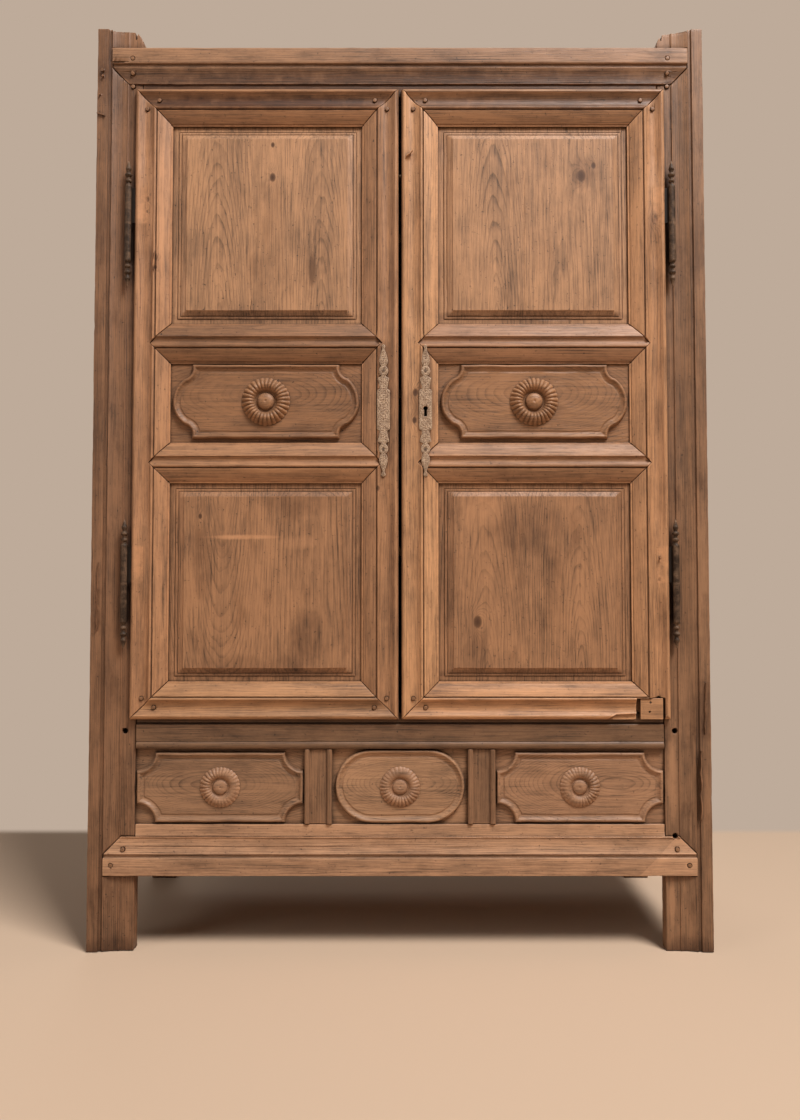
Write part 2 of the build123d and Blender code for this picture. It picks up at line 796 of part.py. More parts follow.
door_tenon_d = (lip_depth + 0.5, lip_depth + 0.5 + tenon_thickness)
door_tenon_end = 5.0          # wood outside the door mortises
mitre_d = (-door_proud - 1, lip_depth)
left_mortise_x = -door_outer + rebate + door_tenon_end
right_mortise_x = -door_inner - rebate - door_tenon_end
tenon_setback = panel_groove + 3.0

sights = [(lower_sight, lower_crossrail_bottom), (middle_sight, upper_crossrail_bottom),
          (upper_sight, top_sight)]
outer_tenons = [(door_bottom + rebate + door_tenon_end, lower_sight - tenon_setback),
                (top_sight + tenon_setback, door_top - rebate - door_tenon_end)]
cross_tenons = [grown((low, low + crossrail_width), -tenon_setback)
                for low in (lower_crossrail_bottom, upper_crossrail_bottom)]


def rail_reach(z_edge, z_sight):
    """Front face of a top or bottom rail: mitred from the corners of the door."""
    return [(-door_outer, z_edge), (-door_inner, z_edge), (sight_right, z_sight),
            (sight_left, z_sight)]


def crossrail_reach(low):
    """Front face of a crossrail: pointed at both ends."""
    half = crossrail_width / 2
    return [(sight_left, low), (sight_left - half, low + half),
            (sight_left, low + crossrail_width), (sight_right, low + crossrail_width),
            (sight_right + half, low + half), (sight_right, low)]


def door_tenons(z_span, gap=0.0):
    return block(grown((left_mortise_x, right_mortise_x), gap), grown(door_tenon_d, gap),
                 grown(z_span, gap))


def panel_slots():
    """Grooves for the three panels, cut from every member round them."""
    d_span = (panel_depth, panel_depth + tongue + 2 * fit)
    return [block(grown((sight_left, sight_right), panel_groove), d_span,
                  grown(span, panel_groove)) for span in sights]


corner_pegs = [(28.0, 49.0), (57.0, 28.0)]


def door_peg_spots():
    """Pegs near the four corners, from the corner inwards."""
    spots = []
    for x_edge, x_sense in ((-door_outer, 1), (-door_inner, -1)):
        for z_edge, z_sense in ((door_top, -1), (door_bottom, 1)):
            spots += [(x_edge + x_sense * a, z_edge + z_sense * b) for a, b in corner_pegs]
    return spots


def door_pegs(gap=0.0):
    return [rod_y(x, z, (-door_proud + 0.5, door_back), peg_radius + gap)
            for x, z in door_peg_spots()]


def stile(x_edge, sense, back_edge):
    """Door stile: full section, notched for the mitred rails and mortised behind them."""
    section = stile_section(back_edge)
    bar = upright(section, x_edge, sense, (door_bottom, door_top))
    ends = [(door_bottom - 1, door_bottom + rebate), (door_top - rebate, door_top + 1)]
    bar -= [block((-door_outer - 1, 1), (lip_depth, door_back + 1), span) for span in ends]
    bar -= [slab(rail_reach(door_bottom, lower_sight), mitre_d),
            slab(rail_reach(door_top, top_sight), mitre_d)]
    bar -= [slab(crossrail_reach(low), mitre_d)
            for low in (lower_crossrail_bottom, upper_crossrail_bottom)]
    bar -= [door_tenons(span, fit) for span in outer_tenons + cross_tenons]
    bar -= panel_slots()
    return bar - door_pegs(fit)


def door_rail(z_edge, sense, z_sight, tenon_span):
    """Top or bottom rail of a door: mitred in front, square and tenoned behind."""
    long_bar = level(stile_section(rebate), z_edge, sense, (-door_outer, -door_inner))
    rail = long_bar & slab(rail_reach(z_edge, z_sight), mitre_d)
    rail += long_bar & block((sight_left, sight_right), (lip_depth, door_back),
                             (min(z_edge, z_sight), max(z_edge, z_sight)))
    rail += door_tenons(tenon_span)
    return rail - panel_slots() - door_pegs(fit)


def crossrail(low, tenon_span):
    long_bar = level(crossrail_section(), low, 1, (-door_outer, -door_inner))
    rail = long_bar & slab(crossrail_reach(low), mitre_d)
    rail += long_bar & block((sight_left, sight_right), (lip_depth, door_back),
                             (low, low + crossrail_width))
    rail += door_tenons(tenon_span)
    return rail - panel_slots()


# ---- Door panels -----------------------------------------------------------------------------
field_margin = 36.0           # raised field from the sight edge
cartouche_half = 87.5
cartouche_flat = 173.0
cartouche_bulge = 220.0
cartouche_lift = 3.5
cartouche_relief = 11.0
cartouche_field = 7.0
door_border = 15.0
door_x = (sight_left + sight_right) / 2
cartouche_z = (middle_sight + upper_crossrail_bottom) / 2 + cartouche_lift


def field_panel(z_span):
    play = panel_groove - panel_play
    panel = raised_panel(sight_right - sight_left + 2 * play, z_span[1] - z_span[0] + 2 * play,
                         play, play + field_margin, field_height)
    return Pos(door_x, y_at(panel_depth + fit), (z_span[0] + z_span[1]) / 2) * panel


def ogee_outline(inset):
    """Cartouche with a flat top and bottom and bulging ogee ends."""
    half = cartouche_half - inset
    flat = cartouche_flat - inset
    bulge = cartouche_bulge - inset
    drop = half - 11.0
    turn = half - 33.0
    waist = flat + 19.0
    scoop = (flat + 5.0, (drop + turn) / 2 - 2.0)

    def spot(x, z):
        return (door_x + x, cartouche_z + z)

    return [
        spot(-flat, -half), spot(flat, -half), spot(flat, -drop),
        (spot(scoop[0], -scoop[1]), spot(waist, -turn)),
        (spot(bulge, 0), spot(waist, turn)),
        (spot(scoop[0], scoop[1]), spot(flat, drop)),
        spot(flat, half), spot(-flat, half), spot(-flat, drop),
        (spot(-scoop[0], scoop[1]), spot(-waist, turn)),
        (spot(-bulge, 0), spot(-waist, -turn)),
        (spot(-scoop[0], -scoop[1]), spot(-flat, -drop)),
    ]


def middle_panel():
    panel = carved_panel((sight_left, sight_right), sights[1], panel_depth, panel_play,
                         ogee_outline, cartouche_relief, cartouche_field)
    return panel


def door_rosette():
    return placed_rosette(door_rosette_radius, door_rosette_height, door_x, cartouche_z,
                          panel_depth - cartouche_field)


# ---- Hinges --------------------------------------------------------------------------------
def half_barrel():
    """Upper half of a barrel hinge above z = 0, with its turned finial."""
    base = half_hinge - finial_length
    r = barrel_radius
    return turned([
        (0, 0), (r, 0), (r, base - 4.0),
        ((r * 0.9, base + 1.0), (r * 0.55, base + 4.0)),
        (r * 0.5, base + 8.0),
        ((r * 0.88, base + 12.5), (r * 0.5, base + 17.0)),
        (r * 0.5, base + 21.0), (r * 0.85, base + 24.0),
        ((r, base + 27.0), (r * 0.85, base + 30.0)),
        (r * 0.5, base + 33.0), (r * 0.6, base + 37.0),
        ((r * 0.8, base + 41.0), (r * 0.62, base + 46.0)),
        (r * 0.15, base + finial_length), (0, base + finial_length),
    ])


leaf_start = 3.0              # leaves begin this far from the joint line
door_leaf_middle = -2.1       # depth of the door leaf's middle plane
post_leaf_end = 34.0          # depth that the post leaf reaches


def door_leaf(joint_z, gap=0.0):
    """Plate from the upper knuckle into the edge of the door."""
    z_span = (joint_z + leaf_start, joint_z + leaf_start + leaf_height)
    return block(grown((-axis_x, -door_outer + leaf_reach), gap),
                 around(door_leaf_middle, leaf_thickness, gap), grown(z_span, gap))


def post_leaf(joint_z, gap=0.0):
    """Plate from the lower knuckle straight back into the post."""
    z_span = (joint_z - leaf_start - leaf_height, joint_z - leaf_start)
    return block(around(-axis_x, leaf_thickness, gap), (-hinge_proud, post_leaf_end + gap),
                 grown(z_span, gap))


def at_axis(joint_z):
    return Pos(-axis_x, y_at(-hinge_proud), joint_z)


def hinge_bore(joint_z):
    return at_axis(joint_z) * Cylinder(pin_radius + pin_clearance, 2 * (pin_half + 0.5))


def door_knuckle(joint_z):
    barrel = at_axis(joint_z + knuckle_gap / 2) * half_barrel()
    return barrel + door_leaf(joint_z) - hinge_bore(joint_z)


def post_knuckle(joint_z):
    barrel = at_axis(joint_z - knuckle_gap / 2) * mirror(half_barrel(), about=Plane.XY)
    return barrel + post_leaf(joint_z) - hinge_bore(joint_z)


def hinge_pin(joint_z):
    return at_axis(joint_z) * Cylinder(pin_radius, 2 * pin_half)


# ---- Lock and bolts ---------------------------------------------------------------------------
lock_drop = 5.0               # middle of the lock below the middle of the plates
edge_gap = 3.0                # ironwork on the backs from the meeting edges
bolt_recess = 0.3             # drawn lock bolt inside the front of its case
keeper_wall = 3.0
keeper_play = 1.5             # round the lock bolt
keeper_spare = 10.0           # depth left behind the shot bolt
keeper_ear = 12.0
guide_thickness = 4.0
guide_rise = 6.0              # guide plate above and below the lock bolt

lock_z = plate_z - lock_drop
key_x = door_inner + right_plate_offset
case_x = (door_inner + edge_gap, door_inner + edge_gap + case_width)
case_d = (door_back, door_back + case_depth)
lock_bolt_d = around(door_back + case_depth / 2, lock_bolt_depth)
lock_bolt_z = lock_z + case_height * 0.28
keeper_x = (-door_inner - lock_throw - keeper_spare - keeper_wall - edge_gap,
            -door_inner - edge_gap)


def keyhole(x, z, d_span):
    """Round head over a straight slot, centred on z."""
    head = z + key_length / 2 - key_radius
    hole = rod_y(x, head, d_span, key_radius)
    return hole + block((x - key_slot_width / 2, x + key_slot_width / 2), d_span,
                        (z - key_length / 2, head))


def lock_bolt_bar(x_span, gap=0.0):
    return block(x_span, grown(lock_bolt_d, gap), around(lock_bolt_z, lock_bolt_height, gap))


def lock_case():
    """Iron box on the back of the right door, open towards the wood, with its bolt's guides."""
    z_span = around(lock_z, case_height)
    case = block(case_x, case_d, z_span)
    case -= block(grown(case_x, -case_wall), (door_back - 1, case_d[1] - case_wall),
                  grown(z_span, -case_wall))
    guide_x = case_x[0] + lock_bolt_length * 0.6
    case += block((guide_x, guide_x + guide_thickness), (door_back, case_d[1] - case_wall / 2),
                  around(lock_bolt_z, lock_bolt_height, guide_rise))
    case += [case_ear(z) for z in case_ears]
    return case - lock_bolt_bar((case_x[0] - 1, guide_x + guide_thickness + 1), slide_gap)


def lock_bolt():
    start = case_x[0] + bolt_recess
    return lock_bolt_bar((start, start + lock_bolt_length))


def lock_keeper():
    """Closed iron loop on the back of the left door that takes the lock bolt."""
    z_span = around(lock_bolt_z, lock_bolt_height, keeper_play)
    inner_d = lock_bolt_d[1] + keeper_play
    loop = block(keeper_x, (door_back, inner_d + keeper_wall), grown(z_span, keeper_wall))
    loop += block(keeper_x, (door_back, door_back + keeper_wall),
                  grown(z_span, keeper_wall + keeper_ear))
    return loop - block((keeper_x[0] + keeper_wall, keeper_x[1] + 1), (door_back - 1, inner_d), z_span)


bolt_x = -door_inner - door_frame_width / 2
bolt_d = (door_back + slide_gap, door_back + slide_gap + bolt_thickness)
top_bolt_gap = 4.0            # drawn bolts from the rails they shoot into
bottom_bolt_gap = 7.0
knob_radius = 5.0
knob_length = 14.0
knob_stop = 1.0               # knob from the strap at the end of its travel
socket_play = 1.0
socket_spare = 4.0
top_bolt_span = (door_opening_top - top_bolt_gap - bolt_length, door_opening_top - top_bolt_gap)
bottom_bolt_span = (waist_top + bottom_bolt_gap, waist_top + bottom_bolt_gap + bolt_length)


def bolt_bar(z_span):
    """Flat sliding bar with a riveted knob at its middle."""
    bar = block(around(bolt_x, bolt_width), bolt_d, z_span)
    middle = (z_span[0] + z_span[1]) / 2
    return bar + rod_y(bolt_x, middle, (bolt_d[1] - 1.0, bolt_d[1] + knob_length), knob_radius)


def bolt_socket(z_span):
    """Slot in the rail that the bar shoots into."""
    return block(around(bolt_x, bolt_width, socket_play), grown(bolt_d, socket_play),
                 grown(z_span, bolt_throw + socket_spare))


def strap(z_middle):
    """Iron strap over a bolt, with a foot on each side."""
    inner = around(bolt_x, bolt_width, slide_gap)
    z_span = around(z_middle, strap_height)
    top = bolt_d[1] + slide_gap
    loop = block(grown(inner, strap_thickness), (door_back, top + strap_thickness), z_span)
    loop += block(grown(inner, strap_thickness + strap_foot),
                  (door_back, door_back + strap_thickness), z_span)
    return loop - block(inner, (door_back - 1, top), grown(z_span, 1))


def strap_heights():
    """Straps set so that the knob stops against them at both ends of its travel."""
    heights = []
    for z_span, sense in ((top_bolt_span, 1), (bottom_bolt_span, -1)):
        middle = (z_span[0] + z_span[1]) / 2
        near = knob_radius + strap_height / 2 + knob_stop
        heights += [middle + sense * (bolt_throw + near), middle - sense * near]
    return heights


def bolt_brackets():
    return [strap(z) for z in strap_heights()]


# ---- Plates and nails ------------------------------------------------------------------------------
plate_half_width = 15.5
plate_half_body = 50.0
nail_rise = 1.0               # heads ahead of the ironwork
nail_bite = 14.0              # shanks behind the ironwork
block_nail_sink = 4.0
ring_radius = 11.0
ring_z = 93.0
plate_tip = 148.0
plate_nails = [ring_z, -ring_z]
plate_d = (-plate_proud, -plate_proud + plate_thickness)


def plate_outline(x, z):
    """Long iron plate: square body, vase, ring and leaf above and below."""
    half = [
        (plate_half_width, 0), (plate_half_width, plate_half_body), (9.5, plate_half_body),
        (8.5, plate_half_body + 5.0), ((11.0, plate_half_body + 13.0), (14.5, plate_half_body + 22.0)),
        (14.0, plate_half_body + 26.0), (9.0, plate_half_body + 33.0),
        ((ring_radius, ring_z), (7.5, ring_z + 8.5)),
        (9.5, ring_z + 18.0), ((8.0, ring_z + 32.0), (2.0, plate_tip)), (0, plate_tip),
    ]

    def side(points, x_sense, z_sense):
        turned_points = []
        for point in points:
            if isinstance(point[0], tuple):
                turned_points.append(tuple((x + x_sense * a, z + z_sense * b) for a, b in point))
            else:
                turned_points.append((x + x_sense * point[0], z + z_sense * point[1]))
        return turned_points

    def backwards(points):
        """The same run of corners and arcs walked from its end to its start."""
        ends = [point[1] if isinstance(point[0], tuple) else point for point in points]
        run = [ends[-1]]
        for index in range(len(points) - 1, 0, -1):
            step = points[index]
            start = ends[index - 1]
            run.append((step[0], start) if isinstance(step[0], tuple) else start)
        return run

    return (side(half, 1, 1) + backwards(side(half, -1, 1))[1:]
            + side(half, -1, -1)[1:] + backwards(side(half, 1, -1))[1:-1])


def plate(x):
    body = slab(plate_outline(x, plate_z), plate_d)
    return body - [rod_y(x, plate_z + z, grown(plate_d, 1), nail_radius + fit) for z in plate_nails]


def plate_bed(x):
    """Flat let into the mouldings under a plate."""
    return slab(plate_outline(x, plate_z), (-door_proud - 1, plate_d[1]))


def front_nail(x, z, gap=0.0):
    """Nail through a plate into the door."""
    shank = rod_y(x, z, (plate_d[0] - nail_rise / 2, plate_d[1] + nail_bite), nail_radius + gap)
    if gap:
        return shank
    return shank + rod_y(x, z, (plate_d[0] - nail_rise, plate_d[0]), nail_head)


def back_nail(x, z, plate_front, gap=0.0):
    """Nail through the ironwork on the back of a door."""
    shank = rod_y(x, z, (door_back - nail_bite, plate_front + nail_rise / 2), nail_radius + gap)
    if gap:
        return shank
    return shank + rod_y(x, z, (plate_front, plate_front + nail_rise), nail_head)


strap_nail_x = bolt_width / 2 + slide_gap + strap_thickness + strap_foot / 2
left_plate_x = -door_inner - left_plate_offset
right_plate_x = key_x


def left_nails(gap=0.0):
    nails = [front_nail(left_plate_x, plate_z + z, gap) for z in plate_nails]
    front = door_back + strap_thickness
    nails += [back_nail(bolt_x + side * strap_nail_x, z, front, gap)
              for z in strap_heights() for side in (-1, 1)]
    ear = lock_bolt_height / 2 + keeper_play + keeper_wall + keeper_ear / 2
    nails += [back_nail((keeper_x[0] + keeper_x[1]) / 2, lock_bolt_z + side * ear,
                        door_back + keeper_wall, gap) for side in (-1, 1)]
    return nails


case_ear_size = (20.0, 16.0)
case_ear_x = case_x[0] + 30.0
case_ears = list(around(lock_z, case_height, case_ear_size[1] / 2))


def case_ear(z):
    """Flat lug at the top or bottom of the lock case."""
    return block(around(case_ear_x, case_ear_size[0]), (door_back, door_back + case_wall),
                 around(z, case_ear_size[1]))


block_width = 54.0            # repair block at the lower outer corner of the right door
block_height = 50.0
block_inset = 18.0            # from the outer edge of the door
block_x = (door_outer - block_inset - block_width, door_outer - block_inset)
block_top = door_bottom + block_height
block_front = -4.0            # its face, between the door's mouldings
block_gap = 8.0               # open joint at its inner side
block_play = 0.3
block_slot = 4.0              # open joint at its outer side
corner_x = block_x[1] + block_slot
chip_width = 79.0             # broken nose of the bottom rail beside the block
chip_x = (block_x[0] - chip_width, block_x[0])
chip_slope = 22.0
chip_z = door_bottom + 12.0
block_nails = [(block_x[0] + 22.0, door_bottom + 18.0), (block_x[0] + 24.0, door_bottom + 40.0)]


def repair_pocket():
    """Space cut out of the right door's lower corner for the repair block."""
    return [block((block_x[0] - block_gap, corner_x), mitre_d,
                  (door_bottom - 1, block_top + block_play)),
            slab([(chip_x[0], door_bottom - 1), (chip_x[0] + chip_slope, chip_z),
                  (chip_x[1], chip_z + 2.0), (chip_x[1], door_bottom - 1)], (-door_proud - 1, 0.0))]


corner_tip = block((corner_x, door_outer + 1), mitre_d, (door_bottom - 1, lower_sight))


def block_nail(x, z, gap=0.0):
    return rod_y(x, z, (block_front - nail_rise / 2, door_back - block_nail_sink), nail_radius + gap)


def repair_block():
    body = block(block_x, (block_front, lip_depth), (door_bottom, block_top))
    return body - [block_nail(x, z, fit) for x, z in block_nails]


def right_nails(gap=0.0):
    nails = [front_nail(right_plate_x, plate_z + z, gap) for z in plate_nails]
    nails += [back_nail(case_ear_x, z, door_back + case_wall, gap) for z in case_ears]
    return nails + [block_nail(x, z, gap) for x, z in block_nails[1:]]


# ---- Write the nodes --------------------------------------------------------------------------------
os.makedirs("parts", exist_ok=True)

left_post = front_post()
save("front_left_post", left_post - [lost_peg_hole(-x, z) for x, z in lost_pegs])
save("front_right_post", flipped(left_post) - [lost_peg_hole(x, z) for x, z in right_lost_pegs])
save("rear_left_post", rear_post())
save("rear_right_post", flipped(rear_post()))
save("top_front_rail", top_front_rail())
save("waist_rail", waist_rail())
save("bottom_front_rail", bottom_front_rail())
save("apron_muntins", *apron_muntins())
save("apron_left_panel", apron_left_panel())
save("apron_centre_panel", apron_centre_panel())
save("apron_right_panel", flipped(apron_left_panel()))
save("apron_rosettes", *apron_rosettes())
save("left_side_rails", *left_side_rails())
save("right_side_rails", *[flipped(rail) for rail in left_side_rails()])
save("left_side_panels", *left_side_panels())
save("right_side_panels", *[flipped(panel) for panel in left_side_panels()])
save("rear_rails", *rear_rails())
save("back_boards", *back_boards())
save("top_boards", *board_layer(ceiling_top, board_thickness, board_d, board_count))
save("floor_boards", *board_layer(floor_top, board_thickness, board_d, board_count))
save("shelves", *shelves())
cleats = [cleat(top) for top in cleat_tops]
save("shelf_cleats", *cleats, *[flipped(bearer) for bearer in cleats])
left_pegs = side_pegs()
save("carcass_pegs", *[front_peg(x, z) for x, z in mirrored_spots(front_pegs)],
     *left_pegs, *[flipped(peg) for peg in left_pegs],
     *[rod_y(x, z, rear_peg_span, peg_radius) for x, z in mirrored_spots(rear_pegs)])

post_knuckles = [post_knuckle(z) for z in hinge_joints]
pins = [hinge_pin(z) for z in hinge_joints]
save("post_hinge_knuckles", *post_knuckles, *[flipped(knuckle) for knuckle in post_knuckles])
save("hinge_pins", *pins, *[flipped(pin) for pin in pins])

hinge_stile = stile(-door_outer, 1, rebate) - [door_leaf(z, fit) for z in hinge_joints]
meeting_stile = stile(-door_inner, -1, 0)
top_rail = door_rail(door_top, -1, top_sight, outer_tenons[1])
bottom_rail = door_rail(door_bottom, 1, lower_sight, outer_tenons[0])
right_bed = plate_bed(right_plate_x)
key_cut = keyhole(key_x, lock_z, (-door_proud - 2, case_d[1] - case_wall - 1))

save("left_hinge_stile", hinge_stile)
right_bottom = flipped(bottom_rail)
save("right_hinge_stile", (flipped(hinge_stile) - repair_pocket()) + (right_bottom & corner_tip)
     - [block_nail(x, z, fit) for x, z in block_nails])
save("left_meeting_stile", meeting_stile - plate_bed(left_plate_x) - left_nails(fit))
save("right_meeting_stile", flipped(meeting_stile) - right_bed - right_nails(fit) - key_cut)
save("left_top_rail", top_rail)
save("right_top_rail", flipped(top_rail))
save("left_bottom_rail", bottom_rail)
save("right_bottom_rail", right_bottom - corner_tip - repair_pocket()
     - [block_nail(x, z, fit) for x, z in block_nails])
save("repair_block", repair_block())

handed = [
    ("upper_crossrail", crossrail(upper_crossrail_bottom, cross_tenons[1])),
    ("lower_crossrail", crossrail(lower_crossrail_bottom, cross_tenons[0])),
    ("upper_panel", field_panel(sights[2])),
    ("middle_panel", middle_panel()),
    ("lower_panel", field_panel(sights[0])),
    ("rosette", door_rosette()),
]
for name, piece in handed:
    save("left_" + name, piece)
    right_piece = flipped(piece)
    save("right_" + name, right_piece - right_bed if "crossrail" in name else right_piece)

knuckles = [door_knuckle(z) for z in hinge_joints]
save("left_hinge_knuckles", *knuckles)
save("right_hinge_knuckles", *[flipped(knuckle) for knuckle in knuckles])
save("left_door_pegs", *door_pegs())
save("right_door_pegs", *[flipped(peg) for peg in door_pegs()[:2] + door_pegs()[4:]])
save("left_escutcheon", plate(left_plate_x))
save("right_escutcheon", plate(right_plate_x) - key_cut)
save("left_door_nails", *left_nails())
save("right_door_nails", *right_nails())
save("lock_case", lock_case() - right_nails(fit))
save("lock_bolt", lock_bolt())
save("lock_keeper", lock_keeper() - left_nails(fit))
save("top_bolt", bolt_bar(top_bolt_span))
save("bottom_bolt", bolt_bar(bottom_bolt_span))
save("bolt_brackets", *[bracket - left_nails(fit) for bracket in bolt_brackets()])
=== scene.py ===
"""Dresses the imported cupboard: worn waxed wood, carved panels, rosettes and old iron.

All lengths are metres in the row's frame: +X to the right, +Y backwards, +Z up. Depths are
measured backwards from the front face of the posts, as the CAD pieces are.
"""
import json
import math
from functools import partial

import bmesh
import bpy
import numpy as np
from mathutils import Matrix, Vector, noise

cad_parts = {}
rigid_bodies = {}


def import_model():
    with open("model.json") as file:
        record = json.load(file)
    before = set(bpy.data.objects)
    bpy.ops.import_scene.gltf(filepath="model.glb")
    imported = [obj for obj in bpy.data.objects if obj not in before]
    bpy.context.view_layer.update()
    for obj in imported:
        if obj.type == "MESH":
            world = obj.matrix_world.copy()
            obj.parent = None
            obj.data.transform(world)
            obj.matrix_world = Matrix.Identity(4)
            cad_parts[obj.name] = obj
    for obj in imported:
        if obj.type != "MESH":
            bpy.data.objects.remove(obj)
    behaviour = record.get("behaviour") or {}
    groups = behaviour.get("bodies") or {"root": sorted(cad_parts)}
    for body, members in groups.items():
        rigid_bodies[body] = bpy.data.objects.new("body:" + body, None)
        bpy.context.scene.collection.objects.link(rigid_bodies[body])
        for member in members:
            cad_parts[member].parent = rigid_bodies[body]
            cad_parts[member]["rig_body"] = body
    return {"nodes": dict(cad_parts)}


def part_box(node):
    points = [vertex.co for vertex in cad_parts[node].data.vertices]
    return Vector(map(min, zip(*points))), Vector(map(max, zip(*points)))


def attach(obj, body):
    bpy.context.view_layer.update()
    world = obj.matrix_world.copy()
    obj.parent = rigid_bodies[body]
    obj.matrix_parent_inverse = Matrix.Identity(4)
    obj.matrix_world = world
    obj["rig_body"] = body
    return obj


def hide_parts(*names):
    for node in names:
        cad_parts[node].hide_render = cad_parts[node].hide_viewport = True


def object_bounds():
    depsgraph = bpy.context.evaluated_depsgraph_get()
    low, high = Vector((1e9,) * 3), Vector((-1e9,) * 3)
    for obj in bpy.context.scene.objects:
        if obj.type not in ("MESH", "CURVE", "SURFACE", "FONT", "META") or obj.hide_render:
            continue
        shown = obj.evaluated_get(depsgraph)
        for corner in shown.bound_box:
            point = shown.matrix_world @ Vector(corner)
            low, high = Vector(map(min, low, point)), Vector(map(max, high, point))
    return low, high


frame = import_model()
cad_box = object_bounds()

MM = 0.001
DETAIL = 1.0       # coarser cuts while trying things

# ---- Places taken from the frame
front_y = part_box("front_left_post")[0].y
cad_high = cad_box[1]
CORNER = math.radians(42)     # shading keeps corners sharper than this


def depth_of(y):
    return y - front_y


def placed(name, data):
    """New object in the scene."""
    made = bpy.data.objects.new(name, data)
    bpy.context.scene.collection.objects.link(made)
    return made


def link(name, mesh, material, node, slot, flat=False):
    """Puts a finished mesh in the scene as a piece that stands for a CAD node.

    It is shaded smooth up to its corners; flat keeps its wide faces flat.
    """
    for polygon in mesh.polygons:
        polygon.use_smooth = True
    mesh.set_sharp_from_angle(angle=CORNER)
    mesh.materials.clear()
    mesh.materials.append(material)
    piece = placed(name, mesh)
    if flat:
        piece.modifiers.new("flat faces", "WEIGHTED_NORMAL").keep_sharp = True
    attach(piece, frame["nodes"][node]["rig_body"])
    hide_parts(node)


# ---- Shader building blocks
def put(tree, kind, inputs=(), **settings):
    """Adds a node. Settings are its properties; inputs pair a socket with a value or an output."""
    made = tree.nodes.new("ShaderNode" + kind)
    for key, value in settings.items():
        setattr(made, key, value)
    for socket, value in dict(inputs).items():
        if isinstance(value, bpy.types.NodeSocket):
            tree.links.new(value, made.inputs[socket])
        else:
            made.inputs[socket].default_value = value
    return made


def maths(tree, operation, *values, clamp=False):
    return put(tree, "Math", enumerate(values), operation=operation, use_clamp=clamp).outputs[0]


def sums(tree):
    """The sums of a tree by short names: plus, minus, times, and times with plus."""
    return (partial(maths, tree, operation)
            for operation in ("ADD", "SUBTRACT", "MULTIPLY", "MULTIPLY_ADD"))


def stretch(tree, vector, factors):
    made = put(tree, "VectorMath", [(0, vector), (1, factors)], operation="MULTIPLY")
    return made.outputs[0]


def cloud(tree, vector, scale, detail=2.0, roughness=0.5):
    """Noise between 0 and 1."""
    sockets = {"Vector": vector, "Scale": scale, "Detail": detail, "Roughness": roughness}
    return put(tree, "TexNoise", sockets).outputs[0]


def ramp(tree, factor, stops):
    """Grey curve through (position, value) stops."""
    made = put(tree, "ValToRGB", {"Fac": factor})
    elements = made.color_ramp.elements
    while len(elements) < len(stops):
        elements.new(0.5)
    for element, (position, value) in zip(elements, stops):
        element.position = position
        element.color = (value, value, value, 1.0)
    return made.outputs[0]


def blended(tree, factor, first, second, blend="MIX"):
    made = put(tree, "Mix", {0: factor, 6: first, 7: second}, data_type="RGBA", blend_type=blend)
    return made.outputs[2]


def colour(red, green, blue):
    """Linear colour from the 0-255 values that a picture of it would hold."""
    values = []
    for part in (red, green, blue):
        share = part / 255.0
        values.append(share / 12.92 if share <= 0.04045 else ((share + 0.055) / 1.055) ** 2.4)
    return (*values, 1.0)


def new_material(name):
    """Material, its tree, its shader and the place on the object that it is asked for."""
    made = bpy.data.materials.new(name)
    made.use_nodes = True
    tree = made.node_tree
    return made, tree, tree.nodes["Principled BSDF"], put(tree, "TexCoord").outputs["Object"]


def occlusion(tree, distance, inside=False, samples=6):
    made = put(tree, "AmbientOcclusion", {"Distance": distance}, samples=samples, inside=inside)
    return made.outputs["AO"]


# ---- Wood
GRIME_AND_SHADE = colour(38, 24, 15)
KNOT = colour(80, 52, 34)
# What bleach and painted highlights, stains, soil and painted shade, rubbing and painted
# highlights, and the painted shade of nooks do to the tone under them.
BLEACHED_AND_HIGHLIT, RUBBED_AND_HIGHLIT = (1.5, 1.5, 1.5, 1.0), (1.25, 1.22, 1.2, 1.0)
STAINED, SOILED_AND_SHADED = (0.4, 0.35, 0.32, 1.0), (0.26, 0.21, 0.19, 1.0)
SHADED = (0.6, 0.52, 0.47, 1.0)
CORNER_REACH, ARRIS_REACH, NOOK_REACH = 13 * MM, 5 * MM, 55 * MM


